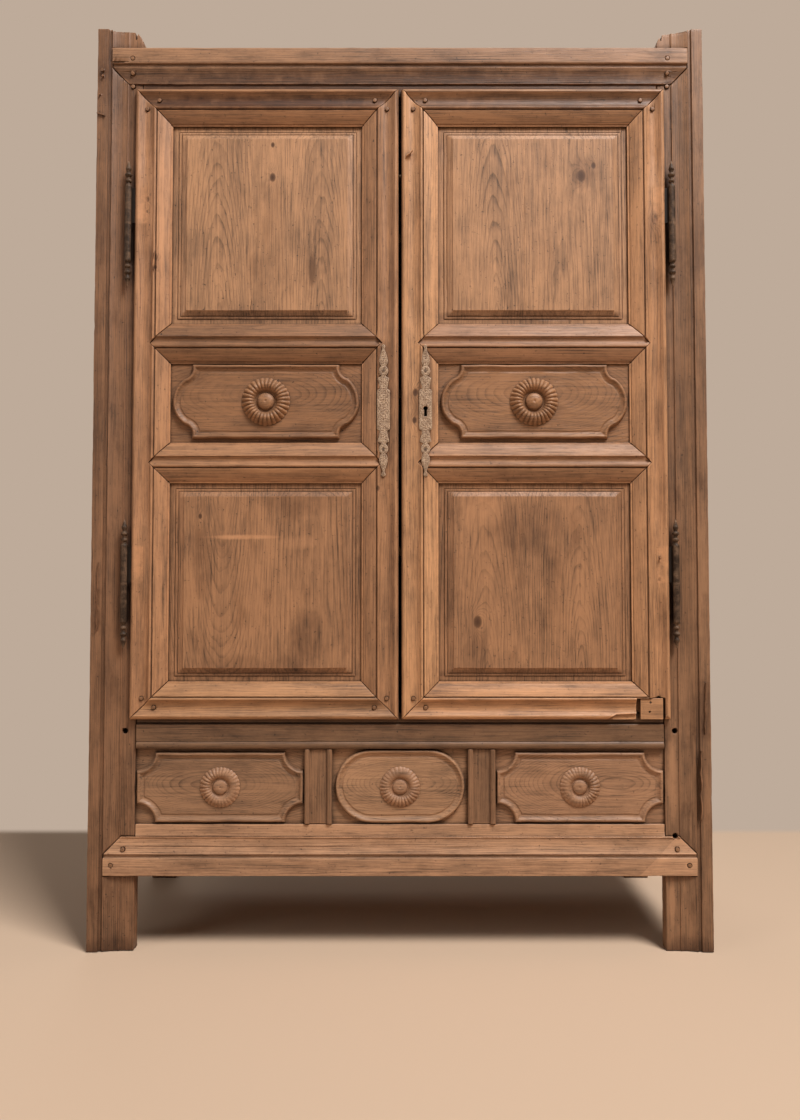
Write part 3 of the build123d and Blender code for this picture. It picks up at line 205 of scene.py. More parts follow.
def make_wood_group():
    """Sawn wood cut from a log lying along the first axis of Grain, waxed, worn and grimy, with
    painted shade and painted highlights.
    """
    tree = bpy.data.node_groups.new("old_wood", "ShaderNodeTree")
    inputs = [("Grain", "Vector"), ("Light", "Color"), ("Dark", "Color")]
    inputs += [(name, "Float") for name in (
        "Pith across", "Pith depth", "Wander", "Ring", "Contrast", "Age", "Bulge", "Knot", "Soil",
        "Bleach", "Rub", "Seed")]
    for name, kind in inputs:
        tree.interface.new_socket(name, in_out="INPUT", socket_type="NodeSocket" + kind)
    for name, kind in (("Color", "Color"), ("Roughness", "Float"), ("Normal", "Vector")):
        tree.interface.new_socket(name, in_out="OUTPUT", socket_type="NodeSocket" + kind)
    given = tree.nodes.new("NodeGroupInput").outputs
    result = tree.nodes.new("NodeGroupOutput").inputs
    plus, minus, times, times_plus = sums(tree)
    mixed = partial(blended, tree)

    seeds = put(tree, "CombineXYZ", [(0, given["Seed"]), (1, given["Seed"]), (2, 0.0)]).outputs[0]
    place = put(tree, "VectorMath", [(0, given["Grain"]), (1, seeds)], operation="ADD").outputs[0]
    parts = put(tree, "SeparateXYZ", [(0, given["Grain"])]).outputs

    def centred(value, amount):
        return times(minus(value, 0.5), amount)

    def veins(along, cross, detail=1.0, roughness=0.5, scale=1.0):
        """Noise with so many changes in a metre along the grain and across it."""
        return cloud(tree, stretch(tree, place, (along, cross, cross)), scale, detail, roughness)

    # Rings about a wandering pith.
    sway = veins(1.9, 0.4)
    lean = veins(2.6, 0.6, scale=1.3)
    across = plus(minus(parts[1], given["Pith across"]), centred(sway, given["Wander"]))
    deep = plus(plus(parts[2], given["Pith depth"]), centred(lean, times(given["Wander"], 0.5)))
    radius = maths(tree, "SQRT", plus(times(across, across), times(deep, deep)))
    wriggle = centred(veins(10.0, 42.0, 3.0), 6 * MM)
    years = maths(tree, "DIVIDE", plus(plus(radius, wriggle), given["Bulge"]), given["Ring"])
    wet_years = put(tree, "CombineXYZ", [(0, times(years, 0.13)), (1, given["Seed"]), (2, 0.0)])
    years = plus(years, centred(cloud(tree, wet_years.outputs[0], 1.0, 1.0), 5.0))
    late = ramp(tree, maths(tree, "FRACT", years),
                [(0.0, 0.0), (0.6, 0.08), (0.84, 0.85), (0.94, 1.0), (1.0, 0.0)])
    late = times(late, ramp(tree, veins(4.0, 15.0, 2.0), [(0.35, 0.25), (0.65, 1.0)]))

    # Fibres, pores and slow changes of tone.
    fibre = veins(9.0, 210.0, 5.0, 0.65)
    pores = ramp(tree, veins(42.0, 900.0), [(0.58, 0.0), (0.72, 1.0)])
    streak = veins(4.5, 110.0, 5.0, 0.7)
    patch = veins(4.0, 9.0, 6.0, 0.7)
    blotch = veins(18.0, 34.0, 4.0, 0.7)
    grain_lines = ramp(tree, veins(8.0, 280.0, 3.0), [(0.54, 0.0), (0.68, 1.0)])
    specks = ramp(tree, cloud(tree, place, 150.0, 3.0, 0.6), [(0.64, 0.0), (0.74, 1.0)])
    dark = times(late, given["Contrast"])
    for value, amount in ((fibre, 1.2), (streak, 0.65), (patch, 1.5), (blotch, 0.5)):
        dark = plus(dark, centred(value, amount))
    for value, amount in ((pores, 0.2), (grain_lines, 0.3), (specks, 0.7)):
        dark = times_plus(value, amount, dark)
    base = mixed(plus(dark, 0.17, clamp=True), given["Light"], given["Dark"])
    # Bleach pales the tone: faded spots, a scarf's new end, and highlights painted on the door
    # mouldings.
    base = mixed(given["Bleach"], base, mixed(1.0, given["Light"], BLEACHED_AND_HIGHLIT, "MULTIPLY"))

    # Grime in patches; grime and painted shade in every corner, painted shade in wide nooks; arrises
    # paler from worn wax and a painted highlight.
    stain = ramp(tree, veins(7.0, 15.0, 5.0, 0.65), [(0.52, 0.0), (0.74, 1.0)])
    base = mixed(times(stain, given["Age"]), base, STAINED, "MULTIPLY")
    # Soil darkens for dirt at seams and for stains, and also paints shade where shade falls.
    base = mixed(given["Soil"], base, SOILED_AND_SHADED, "MULTIPLY")
    base = mixed(given["Knot"], base, KNOT)
    # Corners and creases darken almost to black, as grime and as painted shade where shade falls.
    corner = ramp(tree, occlusion(tree, CORNER_REACH), [(0.28, 1.0), (0.86, 0.0)])
    # Arrises pale, as wax worn off and as a painted highlight.
    arris = ramp(tree, occlusion(tree, ARRIS_REACH, inside=True), [(0.45, 1.0), (0.95, 0.0)])
    bare = ramp(tree, cloud(tree, place, 46.0, 4.0, 0.65), [(0.38, 0.1), (0.66, 1.0)])
    rubbed = mixed(1.0, given["Light"], RUBBED_AND_HIGHLIT, "MULTIPLY")
    base = mixed(times(times(arris, bare), given["Rub"]), base, rubbed)
    # Painted shade: wide nooks darken as if in shadow.
    nook = ramp(tree, occlusion(tree, NOOK_REACH), [(0.4, 1.0), (0.97, 0.0)])
    base = mixed(times(nook, 0.75), base, SHADED, "MULTIPLY")
    tree.links.new(mixed(times(corner, 0.86), base, GRIME_AND_SHADE), result["Color"])

    rough = plus(plus(0.5, centred(fibre, 0.3)), times(corner, 0.25))
    tree.links.new(plus(rough, centred(patch, 0.25), clamp=True), result["Roughness"])

    height = times(fibre, 0.5)
    for value, amount in ((late, 0.35), (pores, 0.35), (given["Knot"], 0.3), (specks, 0.5)):
        height = minus(height, times(value, amount))
    bump = put(tree, "Bump", {"Height": height, "Strength": 0.55, "Distance": 0.7 * MM})
    tree.links.new(bump.outputs[0], result["Normal"])
    return tree


wood_group = make_wood_group()
SEAM = 0.9 * MM               # half of the dirty line between two boards
# Axes of the object along the grain, across it and into the piece.
AXES = {"x": (0, 2, 1), "z": (2, 0, 1), "side": (2, 1, 0), "y": (1, 0, 2), "shelf": (0, 1, 2)}


# Tones of early and late wood as shares of a wood's mean tone.
EARLY, LATE = (1.19, 1.215, 1.2), (0.52, 0.53, 0.54)


def tone(mean, shares):
    return colour(*(part * share for part, share in zip(mean, shares)))


def spot_on(tree, along, across, spot):
    """Square distance from a spot (along, across, length, width), 1 at its edge."""
    plus, minus, times, _ = sums(tree)
    u = maths(tree, "DIVIDE", minus(along, spot[0]), spot[2])
    v = maths(tree, "DIVIDE", minus(across, spot[1]), spot[3])
    return plus(times(u, u), times(v, v))


SWELL = 0.72                  # how fast a swell of the rings dies away from its middle
KNOT_LONG, KNOT_SWELL = 1.5, 2.2              # times a knot's radius
SCARF_PALE = 0.26
RAGGED = 1.6                  # how uneven the edges of stains are
WOOD_SHINE = 0.35


def wood(name, grain, mean, boards=((0.0, 0.06, 0.0),), joints=(), wander=0.02, ring=4.5 * MM,
         contrast=0.35, age=0.5, knots=(), stains=(), faded=(), figures=(), seam=0.0, scarf=(),
         rub=0.72, marks_to=0.0):
    """Material of a piece: grain names its axes, mean is its tone in 0-255 values.

    Each board is (pith across, pith depth, lean of the pith, soil); joints are where one board
    meets the next, and seam is the strength of the dirt there. Knots are (along, across, radius);
    stains and faded spots are (along, across, half length, half width, strength); stains also paint
    shade where shade falls, and faded spots also paint highlights. Figures are swells of the rings,
    (along, across, half length, half width, height). A scarf is two points (along, across) on the
    joint of a paler new end. Rub is how much paler the arrises are, from worn wax and a painted
    highlight. Where marks_to is set, stains and faded spots end at that depth and leave the back
    clean.
    """
    made, tree, shader, place = new_material(name)
    _, minus, times, times_plus = sums(tree)
    parts = put(tree, "SeparateXYZ", [(0, place)]).outputs
    along, across, deep = (parts[axis] for axis in AXES[grain])
    if AXES[grain][2] == 1:
        deep = minus(deep, front_y)
    where = put(tree, "CombineXYZ", [(0, along), (1, across), (2, deep)]).outputs[0]
    boards = [(*board, 0.0)[:4] for board in boards]
    pith, below, lean, soil = boards[0]
    for edge, before, board in zip(joints, boards, boards[1:]):
        past = maths(tree, "GREATER_THAN", across, edge)
        steps = (late - early for early, late in zip(before, board))
        pith, below, lean, soil = (times_plus(past, step, value)
                                   for step, value in zip(steps, (pith, below, lean, soil)))
        if seam:
            away = maths(tree, "ABSOLUTE", minus(across, edge))
            soil = times_plus(maths(tree, "LESS_THAN", away, SEAM), seam, soil, clamp=True)
    below = times_plus(along, lean, below)

    bulge = 0.0
    mark = 0.0
    for figure in figures:
        swell = maths(tree, "POWER", SWELL, spot_on(tree, along, across, figure))
        bulge = times_plus(swell, -figure[4], bulge)
    for spot_along, spot_across, size in knots:
        square = spot_on(tree, along, across, (spot_along, spot_across, size * KNOT_LONG, size))
        bulge = times_plus(maths(tree, "POWER", SWELL, square), size * -KNOT_SWELL, bulge)
        core = ramp(tree, square, [(0.0, 1.0), (0.55, 0.75), (1.0, 0.0)])
        mark = maths(tree, "MAXIMUM", mark, core)
    bleach = 0.0
    if scarf:
        (x0, z0), (x1, z1) = scarf
        slant = (x1 - x0) / (z1 - z0)
        line = times_plus(across, -slant, along)
        bleach = times(SCARF_PALE, maths(tree, "GREATER_THAN", line, x0 - z0 * slant))
    edges = minus(cloud(tree, place, 26.0, 4.0, 0.6), 0.5)
    shown = maths(tree, "LESS_THAN", deep, marks_to) if marks_to else 1.0

    def marked(value, spots):
        for spot in spots:
            square = times_plus(edges, RAGGED, spot_on(tree, along, across, spot))
            value = times_plus(ramp(tree, square, [(0.1, 1.0), (1.0, 0.0)]),
                               times(shown, spot[4]), value, clamp=True)
        return value

    seed = sum(ord(letter) * (number + 3) for number, letter in enumerate(name)) % 97 * 1.37
    # Soil carries the stains with their painted shade, Bleach the faded spots with their painted
    # highlights.
    values = {"Grain": where, "Light": tone(mean, EARLY), "Dark": tone(mean, LATE),
              "Pith across": pith, "Pith depth": below, "Wander": wander, "Ring": ring,
              "Contrast": contrast, "Age": age, "Bulge": bulge, "Knot": mark,
              "Soil": marked(soil, stains), "Bleach": marked(bleach, faded), "Rub": rub,
              "Seed": seed}
    looks = put(tree, "Group", values, node_tree=wood_group).outputs
    for output, wanted in (("Color", "Base Color"), ("Roughness", "Roughness"),
                           ("Normal", "Normal")):
        tree.links.new(looks[output], shader.inputs[wanted])
    shader.inputs["Specular IOR Level"].default_value = WOOD_SHINE
    return made


# ---- Worn copies of the CAD's wooden pieces
WELD = 2e-6
WHOLE = 100.0                 # a step that cuts nothing
TONGUE_WIDE, TONGUE_THICK = 8 * MM, 4 * MM    # loose tongues between boards
FLAT = math.radians(0.7)
SHARP = math.radians(28)
ROOM = 0.35                   # share of the room beside an edge that its rounding may take
WAVES, BITES, NICKS = 9.0, 38.0, 95.0         # how many of them there are in about a metre
OUTWARD = 0.2                 # edges that turn outwards more than this, in radians, chip
RARE = 0.25                   # nicks come where their noise is above this
THIN_END = 0.2                # a split's ends are this share as wide and deep


def mesh_of(bm, name):
    """Mesh of a finished bmesh, which is freed."""
    mesh = bpy.data.meshes.new(name)
    bm.to_mesh(mesh)
    bm.free()
    return mesh


def cleaned(node):
    """The CAD mesh of a node with its flat faces in one piece each."""
    bm = bmesh.new()
    bm.from_mesh(frame["nodes"][node].data)
    bmesh.ops.remove_doubles(bm, verts=bm.verts, dist=WELD)
    bmesh.ops.dissolve_limit(bm, angle_limit=FLAT, verts=bm.verts, edges=bm.edges)
    return bm


def seed_of(name):
    """Small number that differs from piece to piece."""
    return sum(ord(letter) for letter in name) % 53


def room_beside(edge, face):
    """How far a face reaches from one of its edges, in its own plane."""
    start = edge.verts[0].co
    along = (edge.verts[1].co - start).normalized()
    reach = 0.0
    for vert in face.verts:
        off = vert.co - start
        off -= along * off.dot(along)
        reach = max(reach, off.length)
    return reach


def mark_arrises(bm, widest):
    """Bevel weight for each sharp outer edge, limited by the faces and edges around it."""
    weights = bm.edges.layers.float.new("bevel_weight_edge")
    sharp = {edge for edge in bm.edges
             if len(edge.link_faces) == 2 and edge.calc_face_angle_signed(0.0) > SHARP}
    for edge in sharp:
        room = min(room_beside(edge, face) for face in edge.link_faces)
        for vert in edge.verts:
            for other in vert.link_edges:
                if other is not edge and other not in sharp:
                    room = min(room, other.calc_length())
        edge[weights] = min(1.0, ROOM * room / widest)


def cut_up(bm, step, low, high, finer=()):
    """Cuts a mesh by planes across x, y and z wherever it is longer than a step.

    finer lists more places for cuts, as (axis, position).
    """
    places = list(finer)
    for axis in range(3):
        length = high[axis] - low[axis]
        count = int(length / step)
        places += [(axis, low[axis] + length * number / count) for number in range(1, count)]
    for axis, place in places:
        normal = Vector([1.0 if index == axis else 0.0 for index in range(3)])
        bmesh.ops.bisect_plane(bm, geom=bm.verts[:] + bm.edges[:] + bm.faces[:], dist=1e-7,
                               plane_co=normal * place, plane_no=normal)


def weathered(bm, wave, chips, seed):
    """Moves every point inwards by slow waves, and arrises by chips too."""
    bm.normal_update()
    shift = Vector((seed * 3.17, seed * 1.71, seed * 0.93))
    moves = []
    for vert in bm.verts:
        spot = vert.co + shift
        depth = wave * (0.5 + 0.5 * noise.noise(spot * WAVES))
        if any(edge.calc_face_angle_signed(0.0) > OUTWARD for edge in vert.link_edges
               if len(edge.link_faces) == 2):
            bite = 0.5 + 0.5 * noise.noise(spot * BITES)
            nick = max(0.0, noise.noise(spot * NICKS + shift) - RARE)
            depth += chips * (bite * bite + 2.0 * nick)
        moves.append(vert.normal * -depth)
    for vert, move in zip(bm.verts, moves):
        vert.co += move


def bridged(bm, rings):
    """Joins rings of as many points each into a closed skin."""
    for low, high in zip(rings, rings[1:]):
        for step in range(len(low)):
            after = (step + 1) % len(low)
            bm.faces.new((low[step], low[after], high[after], high[step]))
    bm.faces.new(rings[0])
    bm.faces.new(rings[-1])
    bmesh.ops.recalc_face_normals(bm, faces=bm.faces)


def jagged(start, end, count, sway, seed):
    """Points from start to end that wander to the sides."""
    start, end = Vector(start), Vector(end)
    side = Vector((start[1] - end[1], end[0] - start[0])).normalized()
    points = []
    for number in range(count + 1):
        share = number / count
        wander = noise.noise(Vector((share * count * 0.7, seed, 0.5))) * sway
        points.append(start.lerp(end, share) + side * wander * math.sin(math.pi * share) ** 0.4)
    return points


def crack(start, end, width=1.2 * MM, depth=7 * MM, face=0.0, sway=3 * MM, seed=1.0):
    """Cutter for a split that runs down a front face, from and to (x, z)."""
    count = max(4, int((Vector(end) - Vector(start)).length / (12 * MM)))
    points = jagged(start, end, count, sway, seed)

    def build(bm):
        rows = []
        last = len(points) - 1
        for index, point in enumerate(points):
            ahead = points[min(index + 1, last)] - points[max(index - 1, 0)]
            thin = THIN_END if index in (0, last) else 1.0
            side = Vector((-ahead[1], ahead[0])).normalized() * width * thin
            top = front_y + face - depth
            rows.append([bm.verts.new((point[0] - side[0], top, point[1] - side[1])),
                         bm.verts.new((point[0] + side[0], top, point[1] + side[1])),
                         bm.verts.new((point[0], front_y + face + depth * thin, point[1]))])
        bridged(bm, rows)
    return build


def hole(x, z, radius, depth, face=0.0, sides=11, tall=1.0):
    """Cutter for an uneven hole in a front face, tall times higher than wide."""
    def build(bm):
        rings = []
        for d, size in ((-6 * MM, radius), (depth * 0.6, radius * 0.95), (depth, radius * 0.5)):
            ring = []
            for step in range(sides):
                angle = math.tau * step / sides
                r = size * (1 + 0.14 * math.sin(3 * angle + x * 50))
                ring.append(bm.verts.new((x + r * math.cos(angle), front_y + face + d,
                                          z + tall * r * math.sin(angle))))
            rings.append(ring)
        bridged(bm, rings)
    return build


def baked(mesh, kind, **settings):
    """Mesh with one modifier applied."""
    piece = placed("rough", mesh)
    modifier = piece.modifiers.new("shape", kind)
    for key, value in settings.items():
        setattr(modifier, key, value)
    bpy.context.view_layer.update()
    result = bpy.data.meshes.new_from_object(
        piece.evaluated_get(bpy.context.evaluated_depsgraph_get()))
    bpy.data.objects.remove(piece)
    return result


SOUND = 0.8                   # a cut that leaves fewer of the points than this has failed


def bored(mesh, cuts):
    """Mesh with cracks and holes cut out of it."""
    for number, cut in enumerate(cuts):
        bm = bmesh.new()
        cut(bm)
        tool = placed(f"tool_{number}", mesh_of(bm, f"tool_{number}"))
        cut_mesh = baked(mesh, "BOOLEAN", operation="DIFFERENCE", solver="EXACT", object=tool)
        bpy.data.objects.remove(tool)
        if len(cut_mesh.vertices) > SOUND * len(mesh.vertices):
            mesh = cut_mesh
        else:
            print("left out a cut", mesh.name, number)
    return mesh


def worn(node, material, slot, step=16 * MM, arris=1.6 * MM, wave=0.5 * MM, chips=0.5 * MM,
         sink=None, lowered=None, cuts=(), early=(), finer=(), inner=False, tongues=0):
    """Piece that stands for a wooden CAD node, with rounded and chipped arrises.

    sink gives how much deeper a point of the front face lies than in the CAD, and lowered how
    far a point has come down. tongues is the number of upright boards side by side, whose joints
    get a loose tongue each.
    """
    bm = cleaned(node)
    low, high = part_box(node)
    cut_up(bm, WHOLE, low, high, early)
    if sink:
        moves = [(vert, sink(vert.co)) for vert in bm.verts]
        for vert, deeper in moves:
            vert.co.y += deeper
    mark_arrises(bm, arris)
    mesh = baked(mesh_of(bm, node + "_rough"), "BEVEL", limit_method="WEIGHT", width=arris,
                 segments=2, use_clamp_overlap=False, miter_outer="MITER_SHARP")
    bm = bmesh.new()
    bm.from_mesh(mesh)
    cut_up(bm, step / DETAIL * (2.0 if inner else 1.0), low, high, finer)
    weathered(bm, wave, chips, seed_of(node))
    if lowered:
        for vert in bm.verts:
            vert.co.z -= lowered(vert.co)
    for number in range(1, tongues):
        x = low.x + (high.x - low.x) * number / tongues
        middle = Vector((x, (low.y + high.y) / 2, (low.z + high.z) / 2))
        size = (TONGUE_WIDE, TONGUE_THICK, high.z - low.z - 2 * MM)
        shape = Matrix.Translation(middle) @ Matrix.Diagonal((*size, 1.0))
        bmesh.ops.create_cube(bm, size=1.0, matrix=shape)
    bm.to_mesh(mesh)
    bm.free()
    mesh = bored(mesh, cuts)
    mesh.name = node + "_worn"
    link(node + "_wood", mesh, material, node, slot, flat=True)


def dress(node, slot, grain, tone, shape, **look):
    """Wears down a wooden node, as shape says to worn(), in a wood of its own, as look says."""
    worn(node, wood(node, grain, tone, **look), slot, **shape)


# ---- Carved panels
def arc_through(start, middle, end, count=24):
    """Points of the arc through three points in the plane, without its start."""
    (ax, az), (bx, bz), (cx, cz) = start, middle, end
    d = 2 * (ax * (bz - cz) + bx * (cz - az) + cx * (az - bz))
    a2, b2, c2 = ax * ax + az * az, bx * bx + bz * bz, cx * cx + cz * cz
    ux = (a2 * (bz - cz) + b2 * (cz - az) + c2 * (az - bz)) / d
    uz = (a2 * (cx - bx) + b2 * (ax - cx) + c2 * (bx - ax)) / d
    radius = math.hypot(ax - ux, az - uz)
    first = math.atan2(az - uz, ax - ux)
    turns = [(math.atan2(z - uz, x - ux) - first) % math.tau for x, z in (middle, end)]
    sweep = turns[1] if turns[0] < turns[1] else turns[1] - math.tau
    return [(ux + radius * math.cos(first + sweep * step / count),
             uz + radius * math.sin(first + sweep * step / count)) for step in range(1, count + 1)]


def outline_about(centre_x, centre_z, path):
    """Points of a closed outline: a path along one half of it, and the same by half a turn.

    In the path, a pair is a corner, and a pair of pairs is an arc's middle and end.
    """
    points = [path[0]]
    for step in path[1:]:
        if isinstance(step[0], tuple):
            points += arc_through(points[-1], step[0], step[1])
        else:
            points.append(step)
    half = np.array(points)
    return np.concatenate([half, -half]) + (centre_x, centre_z)


def inside_distance(points, x, z):
    """Distance of each (x, z) to a closed outline, positive inside it."""
    ends = np.roll(points, -1, axis=0)
    best = np.full(x.shape, 1e9)
    inside = np.zeros(x.shape, bool)
    for (ax, az), (bx, bz) in zip(points, ends):
        dx, dz = bx - ax, bz - az
        length = dx * dx + dz * dz
        if length == 0:
            continue
        t = np.clip(((x - ax) * dx + (z - az) * dz) / length, 0, 1)
        best = np.minimum(best, (x - ax - t * dx) ** 2 + (z - az - t * dz) ** 2)
        crossing = (az > z) != (bz > z)
        if dz != 0:
            inside ^= crossing & (x < ax + (z - az) * dx / dz)
    return np.sqrt(best) * np.where(inside, 1, -1)


def smooth_step(value, start, end):
    t = np.clip((value - start) / (end - start), 0, 1)
    return t * t * (3 - 2 * t)


def height_field(name, low, high, ground_y, back_y, heights, step):
    """Closed mesh with a grid for its front, raised towards -Y from the ground by heights(x, z)."""
    count_x = max(2, int((high.x - low.x) / step))
    count_z = max(2, int((high.z - low.z) / step))
    x, z = np.meshgrid(np.linspace(low.x, high.x, count_x), np.linspace(low.z, high.z, count_z))
    y = ground_y - heights(x, z)
    front = np.stack([x, y, z], -1).reshape(-1, 3)
    back = np.array([(cx, back_y, cz) for cz in (low.z, high.z) for cx in (low.x, high.x)])
    number = np.arange(count_x * count_z).reshape(count_z, count_x)
    quads = np.stack([number[:-1, :-1], number[:-1, 1:], number[1:, 1:], number[1:, :-1]], -1)
    faces = [tuple(quad) for quad in quads.reshape(-1, 4).tolist()]
    first = count_x * count_z
    low_left, low_right, high_left, high_right = range(first, first + 4)
    for border, ends in ((number[0, ::-1], (low_left, low_right)),
                         (number[-1, :], (high_right, high_left)),
                         (number[:, 0], (high_left, low_left)),
                         (number[::-1, -1], (low_right, high_right))):
        faces.append((*border.tolist(), *ends))
    faces.append((low_left, high_left, high_right, low_right))
    mesh = bpy.data.meshes.new(name)
    mesh.from_pydata(np.concatenate([front, back]).tolist(), [], faces)
    mesh.validate()
    return mesh


def uneven(x, z, seed, size):
    """Slow hand-cut waves over a surface, from 0 to 1."""
    return (0.5 + 0.25 * np.sin(x * 61.0 / size + seed + 2.3 * np.sin(z * 37.0 / size + seed))
            + 0.25 * np.sin(z * 71.0 / size - seed + 1.9 * np.sin(x * 29.0 / size)))


# How far inside its outline a carved border has its wall, the end of its ridge and of its slope.
BORDER_WALL, BORDER_RIDGE, BORDER_SLOPE = 1.6 * MM, 8.5 * MM, 16 * MM
BORDER_FOOT = 0.7             # height of the ridge's edges, as a share of the relief
QUIRK = 1.2 * MM
CARVED_STEP = 1.3 * MM
WOBBLE, RIPPLE = 1.2 * MM, 0.5 * MM           # of the outline and of the surface, cut by hand


def border_height(inside, relief, field):
    """Carved border: steep outer wall, rounded ridge, hollow slope inwards, quirk, field."""
    up = smooth_step(inside, -BORDER_WALL, BORDER_WALL * 0.6) * relief
    bow = np.clip(inside / BORDER_RIDGE, 0, 1)
    crest = relief * (BORDER_FOOT + (1 - BORDER_FOOT) * np.sin(np.pi * bow) ** 0.8)
    fall = np.clip((inside - BORDER_RIDGE) / (BORDER_SLOPE - BORDER_RIDGE), 0, 1)
    start = relief * BORDER_FOOT
    sunk = start - (start - field + QUIRK) * np.sin(fall * np.pi / 2)
    body = np.where(inside > BORDER_RIDGE, sunk, crest)
    settled = smooth_step(inside, BORDER_SLOPE + 0.8 * MM, BORDER_SLOPE + 2.0 * MM)
    body = body * (1 - settled) + field * settled
    return np.minimum(up, body)


def carved(node, material, slot, points, relief, field, ground_depth, seed):
    """Panel with a carved border that follows an outline's points."""
    low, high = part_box(node)

    def heights(x, z):
        wobble = (uneven(x, z, seed, 1.0) - 0.5) * WOBBLE
        inside = inside_distance(points, x, z) + wobble
        height = border_height(inside, relief, field)
        return height - uneven(x, z, seed + 1.7, 0.7) * RIPPLE

    mesh = height_field(node + "_carved", low, high, front_y + ground_depth, high.y, heights,
                        CARVED_STEP / DETAIL)
    link(node + "_wood", mesh, material, node, slot)


def ogee_path(half, flat, bulge):
    """Half of a cartouche with a flat top and bottom and bulging ogee ends."""
    drop, turn, waist = half - 11 * MM, half - 33 * MM, flat + 19 * MM
    scoop, middle = flat + 5 * MM, (drop + turn) / 2 - 2 * MM
    return [(-flat, -half), (flat, -half), (flat, -drop), ((scoop, -middle), (waist, -turn)),
            ((bulge, 0), (waist, turn)), ((scoop, middle), (flat, drop))]


def scooped_path(wide, high, radius):
    """Half of an oblong whose corners are scooped out."""
    bow = radius * math.sqrt(0.5)
    return [(radius - wide, -high), (wide - radius, -high),
            ((wide - bow, bow - high), (wide, radius - high)), (wide, high - radius),
            ((wide - bow, high - bow), (wide - radius, high))]


def round_ended_path(wide, high):
    return [(high - wide, -high), (wide - high, -high), ((wide, 0), (wide - high, high))]


# ---- Rosettes
BOSS, RING, PRICK = 0.37, 0.44, 0.045         # shares of a rosette's radius
BOSS_FOOT, BOSS_RISE, PRICK_DEEP = 0.1, 0.74, 0.16        # and of its height
FLOOR_HIGH, GROOVE_DEEP = 0.03, 0.24
ROSETTE_RINGS = 44            # rings of its mesh
DRIFT, NOTCH, UNROUND = 0.035, 0.035, 0.012   # petals that wander, notched rim, uneven rim


def rosette_height(rel, petal, high):
    """Height of a rosette at a share of its radius; petal is 1 on a ridge and 0 between two."""
    if rel < BOSS:
        dome = BOSS_FOOT + BOSS_RISE * (1 - (rel / BOSS) ** 2) ** 0.6
        return high * (dome - PRICK_DEEP * math.exp(-(rel / PRICK) ** 2))
    if rel < RING:
        return high * FLOOR_HIGH
    ring = (rel - RING) / (1 - RING)
    arch = max(0.0, math.sin(math.pi * ring ** 0.82)) ** 0.9
    groove = GROOVE_DEEP * (1 - petal) * min(1.0, ring / 0.12) * min(1.0, (1 - ring) / 0.05)
    return high * max(FLOOR_HIGH if ring < 0.5 else 0.0, arch - groove)


def rosette_mesh(name, centre, radius, high, petals, back_y, wear=0.0):
    """Ring of radial gadroons round a domed boss with a pricked centre."""
    around = petals * 8
    rings = ROSETTE_RINGS
    verts, faces = [], []
    for ring in range(rings + 1):
        share = ring / rings
        for step in range(around):
            angle = math.tau * step / around
            wander = angle + DRIFT * math.sin(2 * angle + centre[0] * 5)
            petal = abs(math.sin(wander * petals / 2)) ** 0.8
            wobble = 1 - UNROUND * (1 + math.sin(3 * angle + centre[0] * 9))
            rim = radius * (wobble - NOTCH * (1 - petal))
            r = max(share * rim, 1e-5)
            rubbed = wear * (0.5 + 0.5 * math.sin(angle + centre[0] * 11))
            height = rosette_height(r / rim, petal + (1 - petal) * rubbed, high * (1 - 0.3 * rubbed))
            if ring == rings:
                height = 0.0
            verts.append((centre[0] + r * math.cos(angle), back_y - height,
                          centre[1] + r * math.sin(angle)))
    for ring in range(rings):
        for step in range(around):
            following = (step + 1) % around
            faces.append((ring * around + step, (ring + 1) * around + step,
                          (ring + 1) * around + following, ring * around + following))
    faces.append(tuple(range(around)))
    faces.append(tuple(rings * around + step for step in reversed(range(around))))
    mesh = bpy.data.meshes.new(name)
    mesh.from_pydata(verts, [], faces)
    bm = bmesh.new()
    bm.from_mesh(mesh)
    bmesh.ops.recalc_face_normals(bm, faces=bm.faces)
    bm.to_mesh(mesh)
    bm.free()
    return mesh


# ---- Lock plates
# Half widths of a plate in mm along it, from its middle out: rectangle, vase, ring and leaf.
PLATE_HALF = ((0, 15.4), (44, 15.4), (47.5, 13.5), (49, 9.4), (52, 8.8), (57, 9.8), (66, 11.4),
              (72, 13.4), (75.5, 13.2), (78, 7.6), (80.5, 4.8), (83, 7.2), (86.5, 9.9),
              (92.5, 11.6), (98.5, 9.9), (102, 6.8), (104, 5.6), (109, 8.4), (115, 10.4),
              (123, 9.4), (131, 7.2), (139, 4.4), (145, 2.3))
TOP_TIP = ((148, 3.6), (151, 4.4), (154, 2.6), (155.5, 0.6))
BOTTOM_TIP = ((148, 2.4), (150.5, 4.6), (153.5, 5.2), (156.5, 4.0), (158, 1.0))
RING_AT, RING_RADIUS = 93 * MM, 7.4 * MM
KEY_RISE, KEY_RADIUS, KEY_HALF, KEY_DROP = 3.5 * MM, 5.5 * MM, 3.75 * MM, 19 * MM
PLATE_GRID = (16.5 * MM, 159.5 * MM)          # half of the grid that a plate is cut from
PLATE_PITCH = 0.55 * MM
NEAR = 0.05 * MM              # step for slopes
# Relief of a plate in shares of its thickness, with how wide each form is.
RIM_LOW, RIM_WIDE = 0.3, 1.8 * MM
LINE_DEEP, LINE_WIDE, LINE_AT = 0.5, 0.45 * MM, 2.4 * MM      # line inside the rim
RIDGE_HIGH, RIDGE_WIDE = 0.35, 1.5 * MM       # ridge of each ring
CUP_DEEP, CUP_WIDE = 0.5, 4.2 * MM            # hollow in its middle
CHASED_DEEP, CHASED_FROM, CHASED_TO = 0.55, 3.0 * MM, 3.8 * MM
HAND_WAVES = 0.16
THINNEST = 0.12


